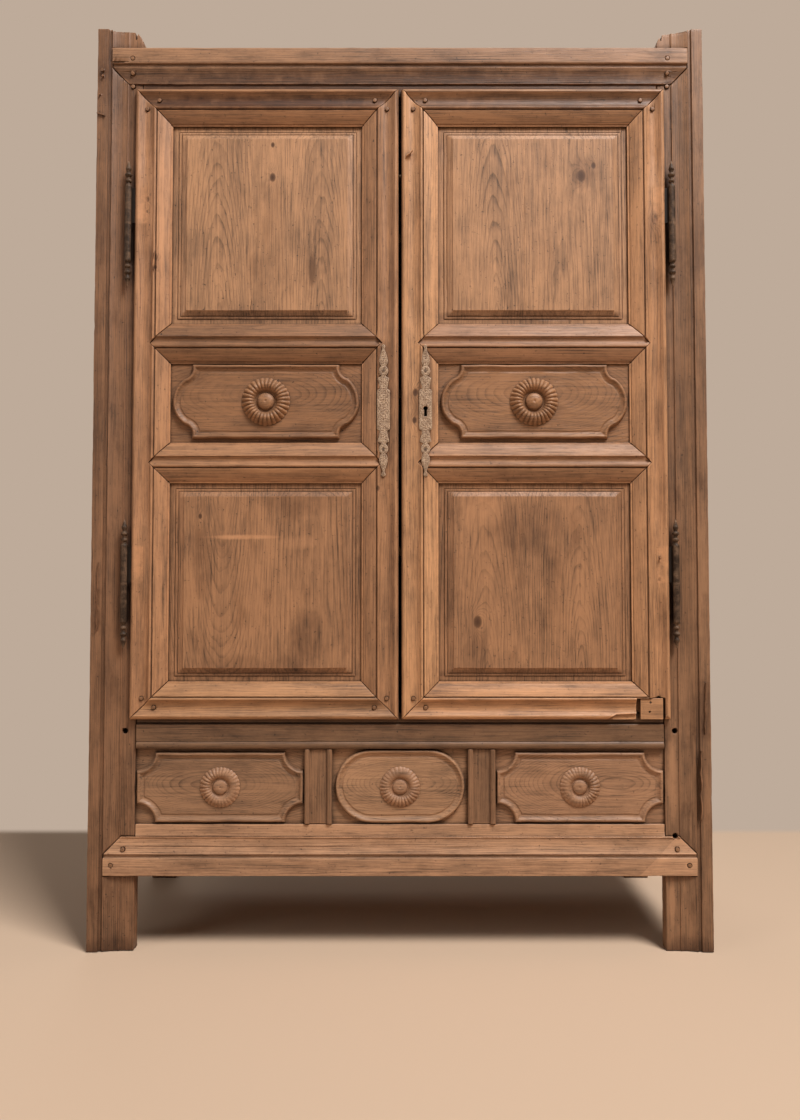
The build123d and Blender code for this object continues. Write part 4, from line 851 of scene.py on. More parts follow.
def keyhole_distance(x, z):
    """Distance to the keyhole around (0, 0), negative inside it."""
    bow = np.hypot(x, z - KEY_RISE) - KEY_RADIUS
    slot = np.maximum(np.abs(x) - KEY_HALF * (0.85 - 0.15 * z / KEY_DROP),
                      np.maximum(z - KEY_RISE, KEY_RISE - KEY_DROP - z))
    return np.minimum(bow, slot)


def plate_mesh(name, low, high, middle_z, keyhole):
    """Chased iron plate: a grid inside its outline, with a back and an edge."""
    middle_x = (low.x + high.x) / 2
    up = PLATE_HALF + TOP_TIP
    down = PLATE_HALF + BOTTOM_TIP
    right = [(half, -t) for t, half in reversed(down)] + [(half, t) for t, half in up[1:]]
    points = np.array(right + [(-x, z) for x, z in reversed(right)]) * MM
    pitch = PLATE_PITCH / DETAIL
    x, z = np.meshgrid(*(np.arange(-half, half + 0.1 * MM, pitch) for half in PLATE_GRID))

    def distance(x, z):
        inside = inside_distance(points, x, z)
        return np.minimum(inside, keyhole_distance(x, z)) if keyhole else inside

    inside = distance(x, z)
    slope_x = (distance(x + NEAR, z) - distance(x - NEAR, z)) / (2 * NEAR)
    slope_z = (distance(x, z + NEAR) - distance(x, z - NEAR)) / (2 * NEAR)
    corners = (inside[:-1, :-1] + inside[1:, :-1] + inside[:-1, 1:] + inside[1:, 1:]) / 4
    kept = corners > 0
    edge = np.abs(inside) < pitch * 0.9
    counted = np.zeros(inside.shape, int)
    for dz in (0, 1):
        for dx in (0, 1):
            counted[dz:dz + kept.shape[0], dx:dx + kept.shape[1]] += kept
    touching = (counted > 0) & (counted < 4)
    snap = touching & edge
    x = np.where(snap, x - slope_x * inside, x)
    z = np.where(snap, z - slope_z * inside, z)

    height = RIM_LOW + (1 - RIM_LOW) * smooth_step(inside, 0, RIM_WIDE)
    height -= LINE_DEEP * np.exp(-((inside - LINE_AT) / LINE_WIDE) ** 2)
    for ring_z in (-RING_AT, RING_AT):
        away = np.hypot(x, z - ring_z)
        height += RIDGE_HIGH * np.exp(-((away - RING_RADIUS) / RIDGE_WIDE) ** 2)
        height -= CUP_DEEP * np.exp(-(away / CUP_WIDE) ** 2)
    scroll = (np.sin(np.hypot(x, (z % (22 * MM)) - 11 * MM) * 1500) * np.cos(x * 620 + 0.4)
              + 0.6 * np.sin(x * 900 + 2.4 * np.sin(z * 420)) * np.sin(z * 700 + 2 * np.sin(x * 300)))
    chased = smooth_step(scroll, 0.15, 0.75) * smooth_step(inside, CHASED_FROM, CHASED_TO)
    height -= CHASED_DEEP * chased
    height -= HAND_WAVES * uneven(x, z, 3.0, 0.25)
    height = np.clip(height, THINNEST, 1.0) * (high.y - low.y)

    used = counted > 0
    number = np.full(inside.shape, -1)
    number[used] = np.arange(used.sum())
    count = int(used.sum())
    front = np.stack([x[used] + middle_x, high.y - height[used], z[used] + middle_z], -1)
    back = front.copy()
    back[:, 1] = high.y
    rows, columns = np.nonzero(kept)
    quad = np.stack([number[rows, columns], number[rows, columns + 1],
                     number[rows + 1, columns + 1], number[rows + 1, columns]], -1)
    faces = quad.tolist() + (quad[:, ::-1] + count).tolist()
    sides = {}
    for a, b, c, d in quad.tolist():
        for edge_pair in ((a, b), (b, c), (c, d), (d, a)):
            if edge_pair[::-1] in sides:
                del sides[edge_pair[::-1]]
            else:
                sides[edge_pair] = True
    faces += [(b, a, a + count, b + count) for a, b in sides]
    mesh = bpy.data.meshes.new(name)
    mesh.from_pydata(np.concatenate([front, back]).tolist(), [], faces)
    mesh.validate()
    return mesh


# ---- Raised panels
# Steps of a panel's margin: (share of its width, depth behind the post fronts in mm).
MARGIN_STEPS = ((-0.25, 12.6), (0.33, 12.2), (0.345, 13.2), (0.38, 13.2), (0.39, 10.6),
                (0.54, 10.2), (0.555, 11.2), (0.585, 11.2), (0.6, 9.4), (0.95, 4.8), (0.965, 3.4),
                (1.0, 3.3))
MARGIN_X, MARGIN_Z = 35 * MM, 31 * MM
TONGUE = 8.3 * MM             # hidden in the grooves
PANEL_STEP, PANEL_WAVE, PANEL_CHIPS = 14 * MM, 0.7 * MM, 0.5 * MM


def raised_panel(node, material, slot, cuts=()):
    """Fielded panel with a stepped margin, cut on its front only."""
    low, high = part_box(node)
    bm = bmesh.new()

    def ring(inset_x, inset_z, y):
        return [bm.verts.new((x, y, z)) for x, z in (
            (low.x + inset_x, low.z + inset_z), (high.x - inset_x, low.z + inset_z),
            (high.x - inset_x, high.z - inset_z), (low.x + inset_x, high.z - inset_z))]

    rings = [ring(0.0, 0.0, high.y)]
    for share, d in MARGIN_STEPS:
        hidden = share == MARGIN_STEPS[0][0]
        inset = (0.0, 0.0) if hidden else (TONGUE + MARGIN_X * share, TONGUE + MARGIN_Z * share)
        rings.append(ring(*inset, front_y + d * MM))
    bridged(bm, rings)
    cut_up(bm, PANEL_STEP / DETAIL, low, high)
    weathered(bm, PANEL_WAVE, PANEL_CHIPS, seed_of(node))
    mesh = bored(mesh_of(bm, node + "_raised"), cuts)
    link(node + "_wood", mesh, material, node, slot, flat=True)


# ---- Camera, light and stage
CAMERA_BACK = 2.2             # camera to the front of the posts
CAMERA_HEIGHT = 0.8179
CAMERA_RISE = 2.3125          # degrees upwards
FOCAL_PIXELS = 939.25         # in the photograph's own pixels
PHOTO_HEIGHT = 1120
SENSOR = 36.0

camera_data = bpy.data.cameras.new("camera")
camera_data.sensor_width = SENSOR
camera_data.lens = SENSOR * FOCAL_PIXELS / PHOTO_HEIGHT
camera = placed("camera", camera_data)
camera.location = (0.0, front_y - CAMERA_BACK, CAMERA_HEIGHT)
camera.rotation_euler = (math.radians(90 + CAMERA_RISE), 0.0, 0.0)
bpy.context.scene.camera = camera

FLOOR_REACH = 14.0
FADE_BEHIND = (0.78, 0.87)    # where the floor turns into the wall, along y
FADE_FAR = (4.0, 8.0)         # and on every side
SKY_SHARE = 0.11              # light from all around, as a share of a bright studio's
WALL_TONE = colour(190, 171, 154)
FLOOR_TONE = colour(210, 181, 154)


def stage_material():
    """Pale floor that turns into the plain backdrop behind the cupboard and far away."""
    made, tree, shader, place = new_material("pale_floor")
    shader.inputs["Base Color"].default_value = FLOOR_TONE
    shader.inputs["Roughness"].default_value = 0.8

    def faded(value, start, end):
        return put(tree, "MapRange", {"Value": value, "From Min": start, "From Max": end},
                   interpolation_type="SMOOTHSTEP").outputs[0]

    behind = faded(put(tree, "SeparateXYZ", [(0, place)]).outputs[1], *FADE_BEHIND)
    away = put(tree, "VectorMath", [(0, place)], operation="LENGTH").outputs["Value"]
    gone = maths(tree, "MAXIMUM", behind, faded(away, *FADE_FAR))
    fade = maths(tree, "MULTIPLY", gone, put(tree, "LightPath").outputs["Is Camera Ray"])
    glow = put(tree, "Emission", {"Color": WALL_TONE})
    both = put(tree, "MixShader", [(0, fade), (1, shader.outputs[0]), (2, glow.outputs[0])])
    tree.links.new(both.outputs[0], tree.nodes["Material Output"].inputs["Surface"])
    return made


floor_mesh = bpy.data.meshes.new("floor")
floor_mesh.from_pydata([(-FLOOR_REACH, -FLOOR_REACH, 0), (FLOOR_REACH, -FLOOR_REACH, 0),
                        (FLOOR_REACH, FLOOR_REACH, 0), (-FLOOR_REACH, FLOOR_REACH, 0)],
                       [], [(0, 1, 2, 3)])
floor_mesh.materials.append(stage_material())
floor = placed("floor", floor_mesh)


def lamp(name, place, target, size, power):
    data = bpy.data.lights.new(name, "AREA")
    data.shape = "RECTANGLE"
    data.size, data.size_y = size
    data.energy = power
    made = placed(name, data)
    made.location = place
    made.rotation_euler = (Vector(target) - Vector(place)).to_track_quat("-Z", "Y").to_euler()


lamp("key", (2.8, -4.0, 7.6), (0.0, -0.3, 1.1), (2.8, 2.8), 822.0)
lamp("left_fill", (-5.0, -4.0, 3.4), (-0.8, 0.0, 0.6), (2.5, 2.5), 55.0)
lamp("behind", (-1.5, 5.4, 4.4), (0.0, 0.3, 1.2), (3.0, 2.0), 40.0)

world = bpy.data.worlds.new("studio")
bpy.context.scene.world = world
world.use_nodes = True
background = world.node_tree.nodes["Background"]
rays = put(world.node_tree, "LightPath").outputs
seen = maths(world.node_tree, "MAXIMUM", rays["Is Camera Ray"], rays["Is Glossy Ray"])
seen = maths(world.node_tree, "MAXIMUM", seen, rays["Is Transmission Ray"])
sky = tuple(part * SKY_SHARE for part in colour(214, 204, 194)[:3]) + (1.0,)
world.node_tree.links.new(blended(world.node_tree, seen, sky, WALL_TONE),
                          background.inputs["Color"])
background.inputs["Strength"].default_value = 1.0
bpy.context.scene.view_settings.view_transform = "Standard"


# ---- Iron
# Black of old grease in the hollows, also used as the painted shade on the hinge leaves.
GREASE_AND_SHADE = colour(20, 13, 9)
IRON_RUB = 0.7                # how much paler the ridges are


def iron(name, dark, bright, rough=0.5, metal=0.3, reach=8 * MM, shaded_leaf_from=0.0, grit=0.35,
         shine=0.5):
    """Forged iron, dark in its hollows and rubbed bright on its ridges.

    reach is how wide a hollow can be, grit how strong its fine spots are, and shine how much it
    mirrors. Where shaded_leaf_from is set, the iron nearer to the middle of the object than that is
    the leaf of a hinge, painted black as the shade in the gap beside the barrel.
    """
    made, tree, shader, place = new_material(name)
    _, _, times, times_plus = sums(tree)
    mottle = cloud(tree, place, 55.0, 6.0, 0.65)
    fine = cloud(tree, place, 420.0, 3.0, 0.6)
    ridge = ramp(tree, occlusion(tree, ARRIS_REACH, inside=True), [(0.35, 1.0), (0.95, 0.0)])
    hollow = ramp(tree, occlusion(tree, reach), [(0.25, 1.0), (0.85, 0.0)])
    # Painted shade: the hinge leaf in the gap beside the barrel is painted black.
    if shaded_leaf_from:
        away = maths(tree, "ABSOLUTE", put(tree, "SeparateXYZ", [(0, place)]).outputs[0])
        hollow = maths(tree, "MAXIMUM", hollow, maths(tree, "LESS_THAN", away, shaded_leaf_from))
    rubbed = ramp(tree, mottle, [(0.42, 0.0), (0.72, 0.75)])
    rubbed = times_plus(ridge, IRON_RUB, rubbed, clamp=True)
    base = blended(tree, times(hollow, 0.95), blended(tree, rubbed, dark, bright), GREASE_AND_SHADE)
    spots = ramp(tree, fine, [(0.4, 0.0), (0.62, grit * 2.0)])
    base = blended(tree, spots, base, (0.45, 0.38, 0.32, 1.0), "MULTIPLY")
    tree.links.new(base, shader.inputs["Base Color"])
    shader.inputs["Metallic"].default_value = metal
    shader.inputs["Specular IOR Level"].default_value = shine
    spread = times_plus(mottle, 0.4, rough - 0.2, clamp=True)
    tree.links.new(spread, shader.inputs["Roughness"])
    height = times_plus(fine, 0.3, mottle)
    bump = put(tree, "Bump", {"Height": height, "Strength": 0.5, "Distance": 0.8 * MM})
    tree.links.new(bump.outputs[0], shader.inputs["Normal"])
    return made


BARREL_INNER = 0.6372         # inner side of the hinge barrels, from the middle
hinge_iron = iron("hinge_iron", colour(52, 39, 29), colour(136, 108, 85), rough=0.55,
                  metal=0.05, shaded_leaf_from=BARREL_INNER, shine=0.2)
plate_iron = iron("plate_iron", colour(130, 102, 79), colour(204, 174, 145), rough=0.6,
                  metal=0.05, reach=1.6 * MM, grit=0.45)
bolt_iron = iron("bolt_iron", colour(62, 50, 41), colour(120, 100, 84))


def paint(node, material):
    """Gives a CAD node that stays in view its material."""
    mesh = frame["nodes"][node].data
    mesh.materials.clear()
    mesh.materials.append(material)


# ---- How much deeper the mouldings lie than in the CAD
def share_of(value, start, end):
    return min(1.0, max(0.0, (value - start) / (end - start)))


FACE = 9.2 * MM               # front faces lie ahead of this depth
DOOR_FACE = 4 * MM            # and those of the doors' mouldings ahead of this one
HOLLOW_DROP = 7.4 * MM        # fall of the outer frame's hollow towards the doors
SLOPE_DROP = 4.4 * MM         # extra fall of the door mouldings towards the panels
COVE_DROP = 4.0 * MM          # extra depth of their coves
GROOVE_WIDTH, HOLLOW_WIDTH = 8 * MM, 35 * MM
DOOR_WIDTH, SLOPE_START, SLOPE_END = 88 * MM, 53.5 * MM, 83 * MM
COVE_START, COVE_END, CROSS_COVE_END = 9 * MM, 44 * MM, 63 * MM
CROSS_COVE = 0.6              # the crossrails' coves are this share as deep
CALM_FADE = 75 * MM
HINGE_AT = (0.851, 1.705)     # joints of the hinges
plate_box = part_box("left_escutcheon")
PLATE_CALM = (((plate_box[0].z + plate_box[1].z) / 2, 170 * MM),)
LEAF_CALM = tuple((z + 45 * MM, 46 * MM) for z in HINGE_AT)


def frame_sink(axis, edge, sense, band):
    """For a post or outer rail whose moulding starts at an edge and runs in by sense."""
    start = band + GROOVE_WIDTH

    def sink(spot):
        away = (spot[axis] - edge) * sense
        if depth_of(spot.y) > FACE or away < start - 0.1 * MM:
            return 0.0
        return HOLLOW_DROP * share_of(away, start, start + HOLLOW_WIDTH)
    return sink


def cove_at(away, start, end):
    return math.sin(math.pi * share_of(away, start, end)) ** 0.8


def door_sink(axis, edge, sense, calm=()):
    """For a stile or outer rail of a door, from its outer edge.

    calm lists where the cove keeps its depth for the sake of the iron there, as (z, half length).
    """
    def sink(spot):
        if depth_of(spot.y) > DOOR_FACE:
            return 0.0
        away = (spot[axis] - edge) * sense
        free = min([share_of(abs(spot.z - z), half, half + CALM_FADE) for z, half in calm] + [1.0])
        return (SLOPE_DROP * share_of(away, SLOPE_START, SLOPE_END)
                + COVE_DROP * free * max(0.0, cove_at(away, COVE_START, COVE_END)))
    return sink


def crossrail_sink(low_z, high_z):
    """For a crossrail, which slopes both ways and has its cove above a bead."""
    reach = DOOR_WIDTH - SLOPE_START

    def sink(spot):
        if depth_of(spot.y) > DOOR_FACE:
            return 0.0
        away = min(spot.z - low_z, high_z - spot.z)
        cove = max(0.0, cove_at(spot.z - low_z, COVE_END, CROSS_COVE_END))
        slope = 1 - share_of(away, DOOR_WIDTH - SLOPE_END, reach)
        return SLOPE_DROP * slope + CROSS_COVE * COVE_DROP * cove
    return sink


# ---- Tones of the wood, in 0-255 values
POST = {"left": (119, 84, 61), "right": (126, 91, 67)}
TOP_RAIL = (142, 104, 78)
WAIST = (108, 78, 57)
BOTTOM = (161, 120, 92)
DOOR = (158, 114, 82)
UPPER = (158, 116, 86)
LOWER = (146, 104, 75)
MIDDLE = {"left": (130, 91, 64), "right": (140, 99, 70)}
APRON = {"left": (136, 100, 75), "centre": (152, 113, 85), "right": (146, 107, 81)}
MUNTIN = (126, 91, 67)
SIDES = (128, 94, 70)
PINE = (172, 136, 100)
PEG = (122, 86, 61)
ROSETTE = (140, 99, 70)

# ---- Carcass
carcass_low, carcass_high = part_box("front_left_post")[0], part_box("front_right_post")[1]
edges_x = {"left": (carcass_low.x, 1), "right": (carcass_high.x, -1)}
POST_BAND, TOP_BAND, BOTTOM_BAND = 27 * MM, 39 * MM, 42 * MM

BACK_BOARDS = 8
DECK_BOARDS = 4               # boards of the top and of the floor
HINGE_SHADE = 0.637           # painted shade on the posts in the gap between hinges and doors, from the middle
SHADE_HALF = (0.165, 0.019)   # half of its height and width
POST_STAINS = {"left": ((2.1, -0.7, 0.12, 0.05, 0.4), (1.25, -0.715, 0.3, 0.015, 0.35),
                        (1.7, -0.715, 0.14, 0.02, 0.35), (0.62, -0.69, 0.12, 0.03, 0.3),
                        (0.01, -0.67, 0.03, 0.07, 0.45)),
               "right": ((1.66, 0.705, 0.12, 0.02, 0.35), (0.56, 0.7, 0.1, 0.03, 0.45),
                         (1.3, 0.66, 0.16, 0.02, 0.25), (0.01, 0.67, 0.03, 0.07, 0.45))}
POST_FADED = {"left": ((0.4, -0.7, 0.1, 0.02, 0.3), (2.165, -0.655, 0.03, 0.05, 0.35),
                       (0.85, -0.705, 0.16, 0.012, 0.25)),
              "right": ((0.9, 0.7, 0.25, 0.02, 0.3), (0.4, 0.636, 0.12, 0.014, 0.6),
                        (0.11, 0.632, 0.07, 0.008, 0.6), (2.165, 0.655, 0.03, 0.05, 0.35),
                        (0.34, 0.712, 0.1, 0.012, 0.3))}
POST_CUTS = {
    "left": [hole(-0.711, 2.079, 3.6 * MM, 12 * MM), hole(-0.71, 2.065, 2.4 * MM, 8 * MM),
             hole(-0.717, 2.02, 1.8 * MM, 6 * MM),
             crack((-0.7245, 1.975), (-0.704, 1.968), width=0.9 * MM, depth=4 * MM, sway=2 * MM),
             crack((-0.706, 0.9), (-0.709, 0.74), width=0.4 * MM, depth=5 * MM, seed=7.0)],
    "right": [crack((0.699, 0.462), (0.697, 0.3), width=1.3 * MM, depth=9 * MM, seed=2.0),
              crack((0.712, 0.62), (0.709, 0.5), width=0.4 * MM, depth=5 * MM, seed=5.0),
              hole(0.638, 0.262, 5.6 * MM, 20 * MM, face=9 * MM, tall=1.9)]}
TOP_RAIL_CRACK = crack((-0.697, 2.1015), (-0.65, 2.101), width=4.5 * MM, depth=8 * MM, sway=1 * MM)
POST_WEAR = {"arris": 2.4 * MM, "wave": 1.1 * MM, "chips": 1.2 * MM}
RAIL_WEAR = {"arris": 2.2 * MM, "wave": 0.7 * MM, "chips": 0.8 * MM}
REAR_WEAR = {"arris": 2.4 * MM, "step": 30 * MM}
COARSE = {"step": 30 * MM}
INNER = {"step": 40 * MM, "inner": True}
SPLIT = {"left": 0.6345, "right": 0.6285}     # torn splits at the post tops, from the middle
SPLIT_HALF, SPLIT_DEEP, SPLIT_HIGH = 2.6 * MM, 30 * MM, 26 * MM
BAND_INNER = 0.69             # inner side of a post's outer band and groove, which aren't torn
TOP_STEP = 7.5 * MM           # the torn fibres stand up to this much above the CAD's lower top
TORN_FROM, TORN_PITCH, TORN_COUNT = 0.619, 2.4 * MM, 34
TORN_HIGH = 45 * MM           # the torn end starts this far under the top
# How much lower the end is at the least, in rough places, between fibres, inside the split and
# where the right post's end slants.
FALLS = (0.5 * MM, 3.0 * MM, 2.0 * MM, 6 * MM, 8 * MM)
TORN_CUTS = ([(2, cad_high.z - 5 * MM * number) for number in range(1, 8)]
             + [(1, front_y + 10 * MM * number) for number in range(1, 5)]
             + [(0, side * (TORN_FROM + TORN_PITCH * number)) for number in range(TORN_COUNT)
                for side in (-1, 1)])


def torn_top(vert):
    """How far a point near the top of a front post has broken down."""
    x = abs(vert.x)
    deep = depth_of(vert.y)
    side = "left" if vert.x < 0 else "right"
    above = share_of(vert.z, cad_high.z - TORN_HIGH, cad_high.z - TOP_STEP - 0.5 * MM)
    within = share_of(BAND_INNER - 0.5 * MM - x, 0.0, 2 * MM)
    rough = 0.5 + 0.5 * noise.noise(Vector((vert.x * 75, deep * 75, 3.0)))
    fibres = 0.5 + 0.5 * noise.noise(Vector((vert.x * 260, deep * 90, 8.0)))
    end = share_of(SPLIT[side] - x, 0.0, 14 * MM)
    slant = share_of(BAND_INNER - x, 0.0, 75 * MM) if side == "right" else 0.0
    fall = sum(most * share for most, share in zip(FALLS, (1, rough * rough, fibres, end, slant)))
    gap = share_of(SPLIT_HALF - abs(x - SPLIT[side]), 0.0, 1.2 * MM)
    gap *= share_of(SPLIT_DEEP - deep, 0.0, 8 * MM)
    gap *= share_of(vert.z, cad_high.z - 24 * MM, cad_high.z - TOP_STEP)
    return above * within * (fall - TOP_STEP) + gap * SPLIT_HIGH


for side, (edge, sense) in edges_x.items():
    # Painted shade on each post beside its hinges, passed on with the post's stains.
    shade = tuple((z, HINGE_SHADE * -sense, *SHADE_HALF, 1.0) for z in HINGE_AT)
    shape = {"cuts": POST_CUTS[side], "lowered": torn_top, "finer": TORN_CUTS,
             "sink": frame_sink(0, edge, sense, POST_BAND), **POST_WEAR}
    dress(f"front_{side}_post", "carcass_wood", "z", POST[side], shape, contrast=0.4, age=0.9,
          boards=((edge - sense * 0.1, 0.05, 0.01),), stains=shade + POST_STAINS[side],
          faded=POST_FADED[side])
    dress(f"rear_{side}_post", "carcass_wood", "z", POST[side], REAR_WEAR, age=0.9)
    dress(f"{side}_side_rails", "carcass_wood", "y", SIDES, COARSE, age=0.8)
    dress(f"{side}_side_panels", "carcass_wood", "side", SIDES, COARSE, wander=0.1, contrast=0.5,
          boards=((0.0, 0.75, 0.05),), age=0.7)

top_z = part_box("top_front_rail")[1].z
bottom_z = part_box("bottom_front_rail")[0].z
top_sink = frame_sink(2, top_z, -1, TOP_BAND)
bottom_sink = frame_sink(2, bottom_z, 1, BOTTOM_BAND)
# The stain along the top front rail's hollow, under its band, is painted shade.
dress("top_front_rail", "carcass_wood", "x", TOP_RAIL,
      {"cuts": [TOP_RAIL_CRACK], "sink": top_sink, **RAIL_WEAR}, age=0.75,
      boards=((top_z + 0.06, 0.04, 0.0),), stains=((0.0, top_z - 0.083, 2.0, 0.042, 0.85),))
dress("waist_rail", "carcass_wood", "x", WAIST, RAIL_WEAR, boards=((0.62, 0.04, 0.0),), age=0.75)
dress("bottom_front_rail", "carcass_wood", "x", BOTTOM, {"sink": bottom_sink, **RAIL_WEAR},
      boards=((bottom_z - 0.05, 0.05, 0.0),), age=0.65, scarf=((0.532, 0.153), (0.618, 0.237)),
      stains=((-0.3, 0.2, 0.3, 0.012, 0.2),))
dress("apron_muntins", "apron_wood", "z", MUNTIN, {}, boards=((0.3, 0.05, 0.0),), age=0.6)
dress("rear_rails", "inner_pine", "x", PINE, INNER)


def plank_look(low, high, count, seed):
    """Boards of unlike piths and tones side by side, and the joints between them."""
    width = (high - low) / count
    boards = [(low + width * (number + 0.5) + 0.16 * math.sin(number * 2.3 + seed),
               0.05 + 0.04 * math.sin(number * 4.1 + seed), 0.03 * math.sin(number * 1.9 + seed),
               0.1 + 0.1 * math.sin(number * 2.9 + seed)) for number in range(count)]
    return boards, [low + width * number for number in range(1, count)]


BOARD_LOOK = {"wander": 0.05, "seam": 0.8}
BOARD_WEAR = {"arris": 0.6 * MM, "wave": 0.1 * MM, "chips": 0.1 * MM}
low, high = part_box("back_boards")
boards, joints = plank_look(low.x, high.x, BACK_BOARDS, 0.0)
dress("back_boards", "inner_pine", "z", PINE, {**INNER, **BOARD_WEAR, "tongues": BACK_BOARDS},
      boards=boards, joints=joints, **BOARD_LOOK)
for seed, node in enumerate(("top_boards", "floor_boards", "shelves")):
    low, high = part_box(node)
    count = 1 if node == "shelves" else DECK_BOARDS
    boards, joints = plank_look(low.y, high.y, count, seed + 1.0)
    dress(node, "inner_pine", "shelf", PINE, INNER, boards=boards, joints=joints, **BOARD_LOOK)
dress("shelf_cleats", "inner_pine", "y", PINE, INNER)


# ---- Pegs: cut off by hand, a little proud or a little sunk
def pegs(node, sink):
    """Pegs with uneven domed ends that follow the sunk mouldings."""
    bm = cleaned(node)
    for vert in bm.verts:
        if depth_of(vert.co.y) < FACE:
            uneven_end = 0.5 * MM + 0.4 * MM * noise.noise(vert.co * 40.0)
            vert.co.y += uneven_end + sink(vert.co)
    mesh = baked(mesh_of(bm, node + "_cut"), "BEVEL", width=0.4 * MM, segments=2,
                 angle_limit=math.radians(50))
    link(node + "_wood", mesh, peg_wood, node, "peg_wood")


peg_wood = wood("peg_wood", "y", PEG, age=0.8)
TOP_RAIL_HIGH, BOTTOM_RAIL_HIGH = 117 * MM, 118 * MM


def carcass_sink(spot):
    """Deeper face under a peg: an outer rail's near the top and bottom, or else a post's."""
    if spot.z > top_z - TOP_RAIL_HIGH:
        return top_sink(spot)
    if spot.z < bottom_z + BOTTOM_RAIL_HIGH:
        return bottom_sink(spot)
    edge, sense = edges_x["left" if spot.x < 0 else "right"]
    return frame_sink(0, edge, sense, POST_BAND)(spot)


def door_peg_sink(side):
    """Deeper cove under the pegs of a door."""
    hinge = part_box(f"{side}_hinge_stile")
    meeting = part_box(f"{side}_meeting_stile")
    x0 = min(hinge[0].x, meeting[0].x)
    x1 = max(hinge[1].x, meeting[1].x)

    def sink(spot):
        away = min(spot.x - x0, x1 - spot.x, spot.z - hinge[0].z, hinge[1].z - spot.z)
        return COVE_DROP * max(0.0, cove_at(away, COVE_START, COVE_END))
    return sink


pegs("carcass_pegs", carcass_sink)
for side in ("left", "right"):
    pegs(f"{side}_door_pegs", door_peg_sink(side))

# ---- Doors
DOOR_TONES = {"left_hinge_stile": (156, 111, 80), "left_meeting_stile": (150, 107, 77),
              "left_top_rail": (140, 98, 69), "left_bottom_rail": (154, 111, 79),
              "left_upper_crossrail": (128, 89, 62), "left_lower_crossrail": (152, 108, 77),
              "right_hinge_stile": (164, 118, 85), "right_meeting_stile": (172, 125, 90),
              "right_top_rail": (142, 101, 72), "right_bottom_rail": (166, 119, 85),
              "right_upper_crossrail": (145, 103, 75), "right_lower_crossrail": (150, 107, 77)}
DOOR_KNOTS = {"left_hinge_stile": ((1.765, -0.6, 0.005), (1.735, -0.601, 0.003),
                                   (1.625, -0.579, 0.006), (1.6, -0.579, 0.004)),
              "left_meeting_stile": ((1.075, -0.052, 0.005),),
              "left_top_rail": ((-0.12, 2.005, 0.005),),
              "right_meeting_stile": ((1.302, 0.036, 0.007), (1.236, 0.034, 0.006)),
              "right_hinge_stile": ((1.716, 0.605, 0.008), (0.912, 0.608, 0.004),
                                    (0.862, 0.607, 0.004))}
# The stains along the door top rails' coves are painted shade under the top front rail.
DOOR_STAINS_AND_SHADE = {"left_top_rail": ((-0.32, 1.999, 0.6, 0.024, 1.0),),
               "right_top_rail": ((0.32, 1.999, 0.6, 0.024, 0.75),),
               "left_hinge_stile": ((1.61, -0.581, 0.03, 0.006, 0.5), (1.2, -0.585, 0.05, 0.012, 0.4)),
               "right_hinge_stile": ((1.72, 0.605, 0.02, 0.012, 0.4), (1.25, 0.61, 0.05, 0.012, 0.3)),
               "left_meeting_stile": ((1.5, -0.02, 0.3, 0.008, 0.4), (0.95, -0.02, 0.3, 0.008, 0.3),
                                      (1.262, -0.039, 0.2, 0.024, 0.6)),
               "right_meeting_stile": ((1.27, 0.035, 0.05, 0.008, 0.35),
                                       (1.262, 0.06, 0.2, 0.024, 0.6)),
               "left_upper_crossrail": ((-0.5, 1.41, 0.03, 0.02, 0.3),),
               "left_lower_crossrail": ((-0.32, 1.105, 0.2, 0.01, 0.35),),
               "right_lower_crossrail": ((0.32, 1.105, 0.2, 0.01, 0.3),)}
# Painted highlights on the door mouldings' slopes and noses that face the light.
DOOR_PAINTED_HIGHLIGHTS = {"left_bottom_rail": ((-0.32, 0.6, 0.22, 0.014, 0.35),),
              "right_bottom_rail": ((0.32, 0.6, 0.22, 0.014, 0.35),),
              "right_meeting_stile": ((1.6, 0.08, 0.3, 0.008, 0.3), (0.9, 0.06, 0.2, 0.02, 0.2)),
              "left_hinge_stile": ((1.75, -0.566, 0.2, 0.008, 0.35), (0.9, -0.566, 0.2, 0.008, 0.3)),
              "right_hinge_stile": ((1.45, 0.62, 0.3, 0.01, 0.2),)}
DOOR_FRONT = 14 * MM          # stains, painted shade and painted highlights of the doors end at this depth
door_crack = partial(crack, face=-6 * MM)
nail_hole = partial(hole, depth=7 * MM, face=-6 * MM, sides=7)
DOOR_CUTS = {
    "left_hinge_stile": [
        nail_hole(-0.606, 1.762, 2.2 * MM, tall=1.6),
        door_crack((-0.58, 1.634), (-0.583, 1.594), width=2.0 * MM, seed=2.0),
        door_crack((-0.59, 1.204), (-0.578, 1.186), width=1.4 * MM, depth=6 * MM, seed=5.0)],
    "right_hinge_stile": [
        door_crack((0.606, 1.722), (0.613, 1.69), width=1.0 * MM, depth=6 * MM, seed=4.0),
        nail_hole(0.608, 0.912, 2.0 * MM), nail_hole(0.607, 0.862, 2.0 * MM)],
    "right_meeting_stile": [
        door_crack((0.03, 1.88), (0.014, 1.866), width=1.2 * MM, depth=6 * MM, seed=6.0)]}
DOOR_LOOK = {"contrast": 0.32, "marks_to": DOOR_FRONT}
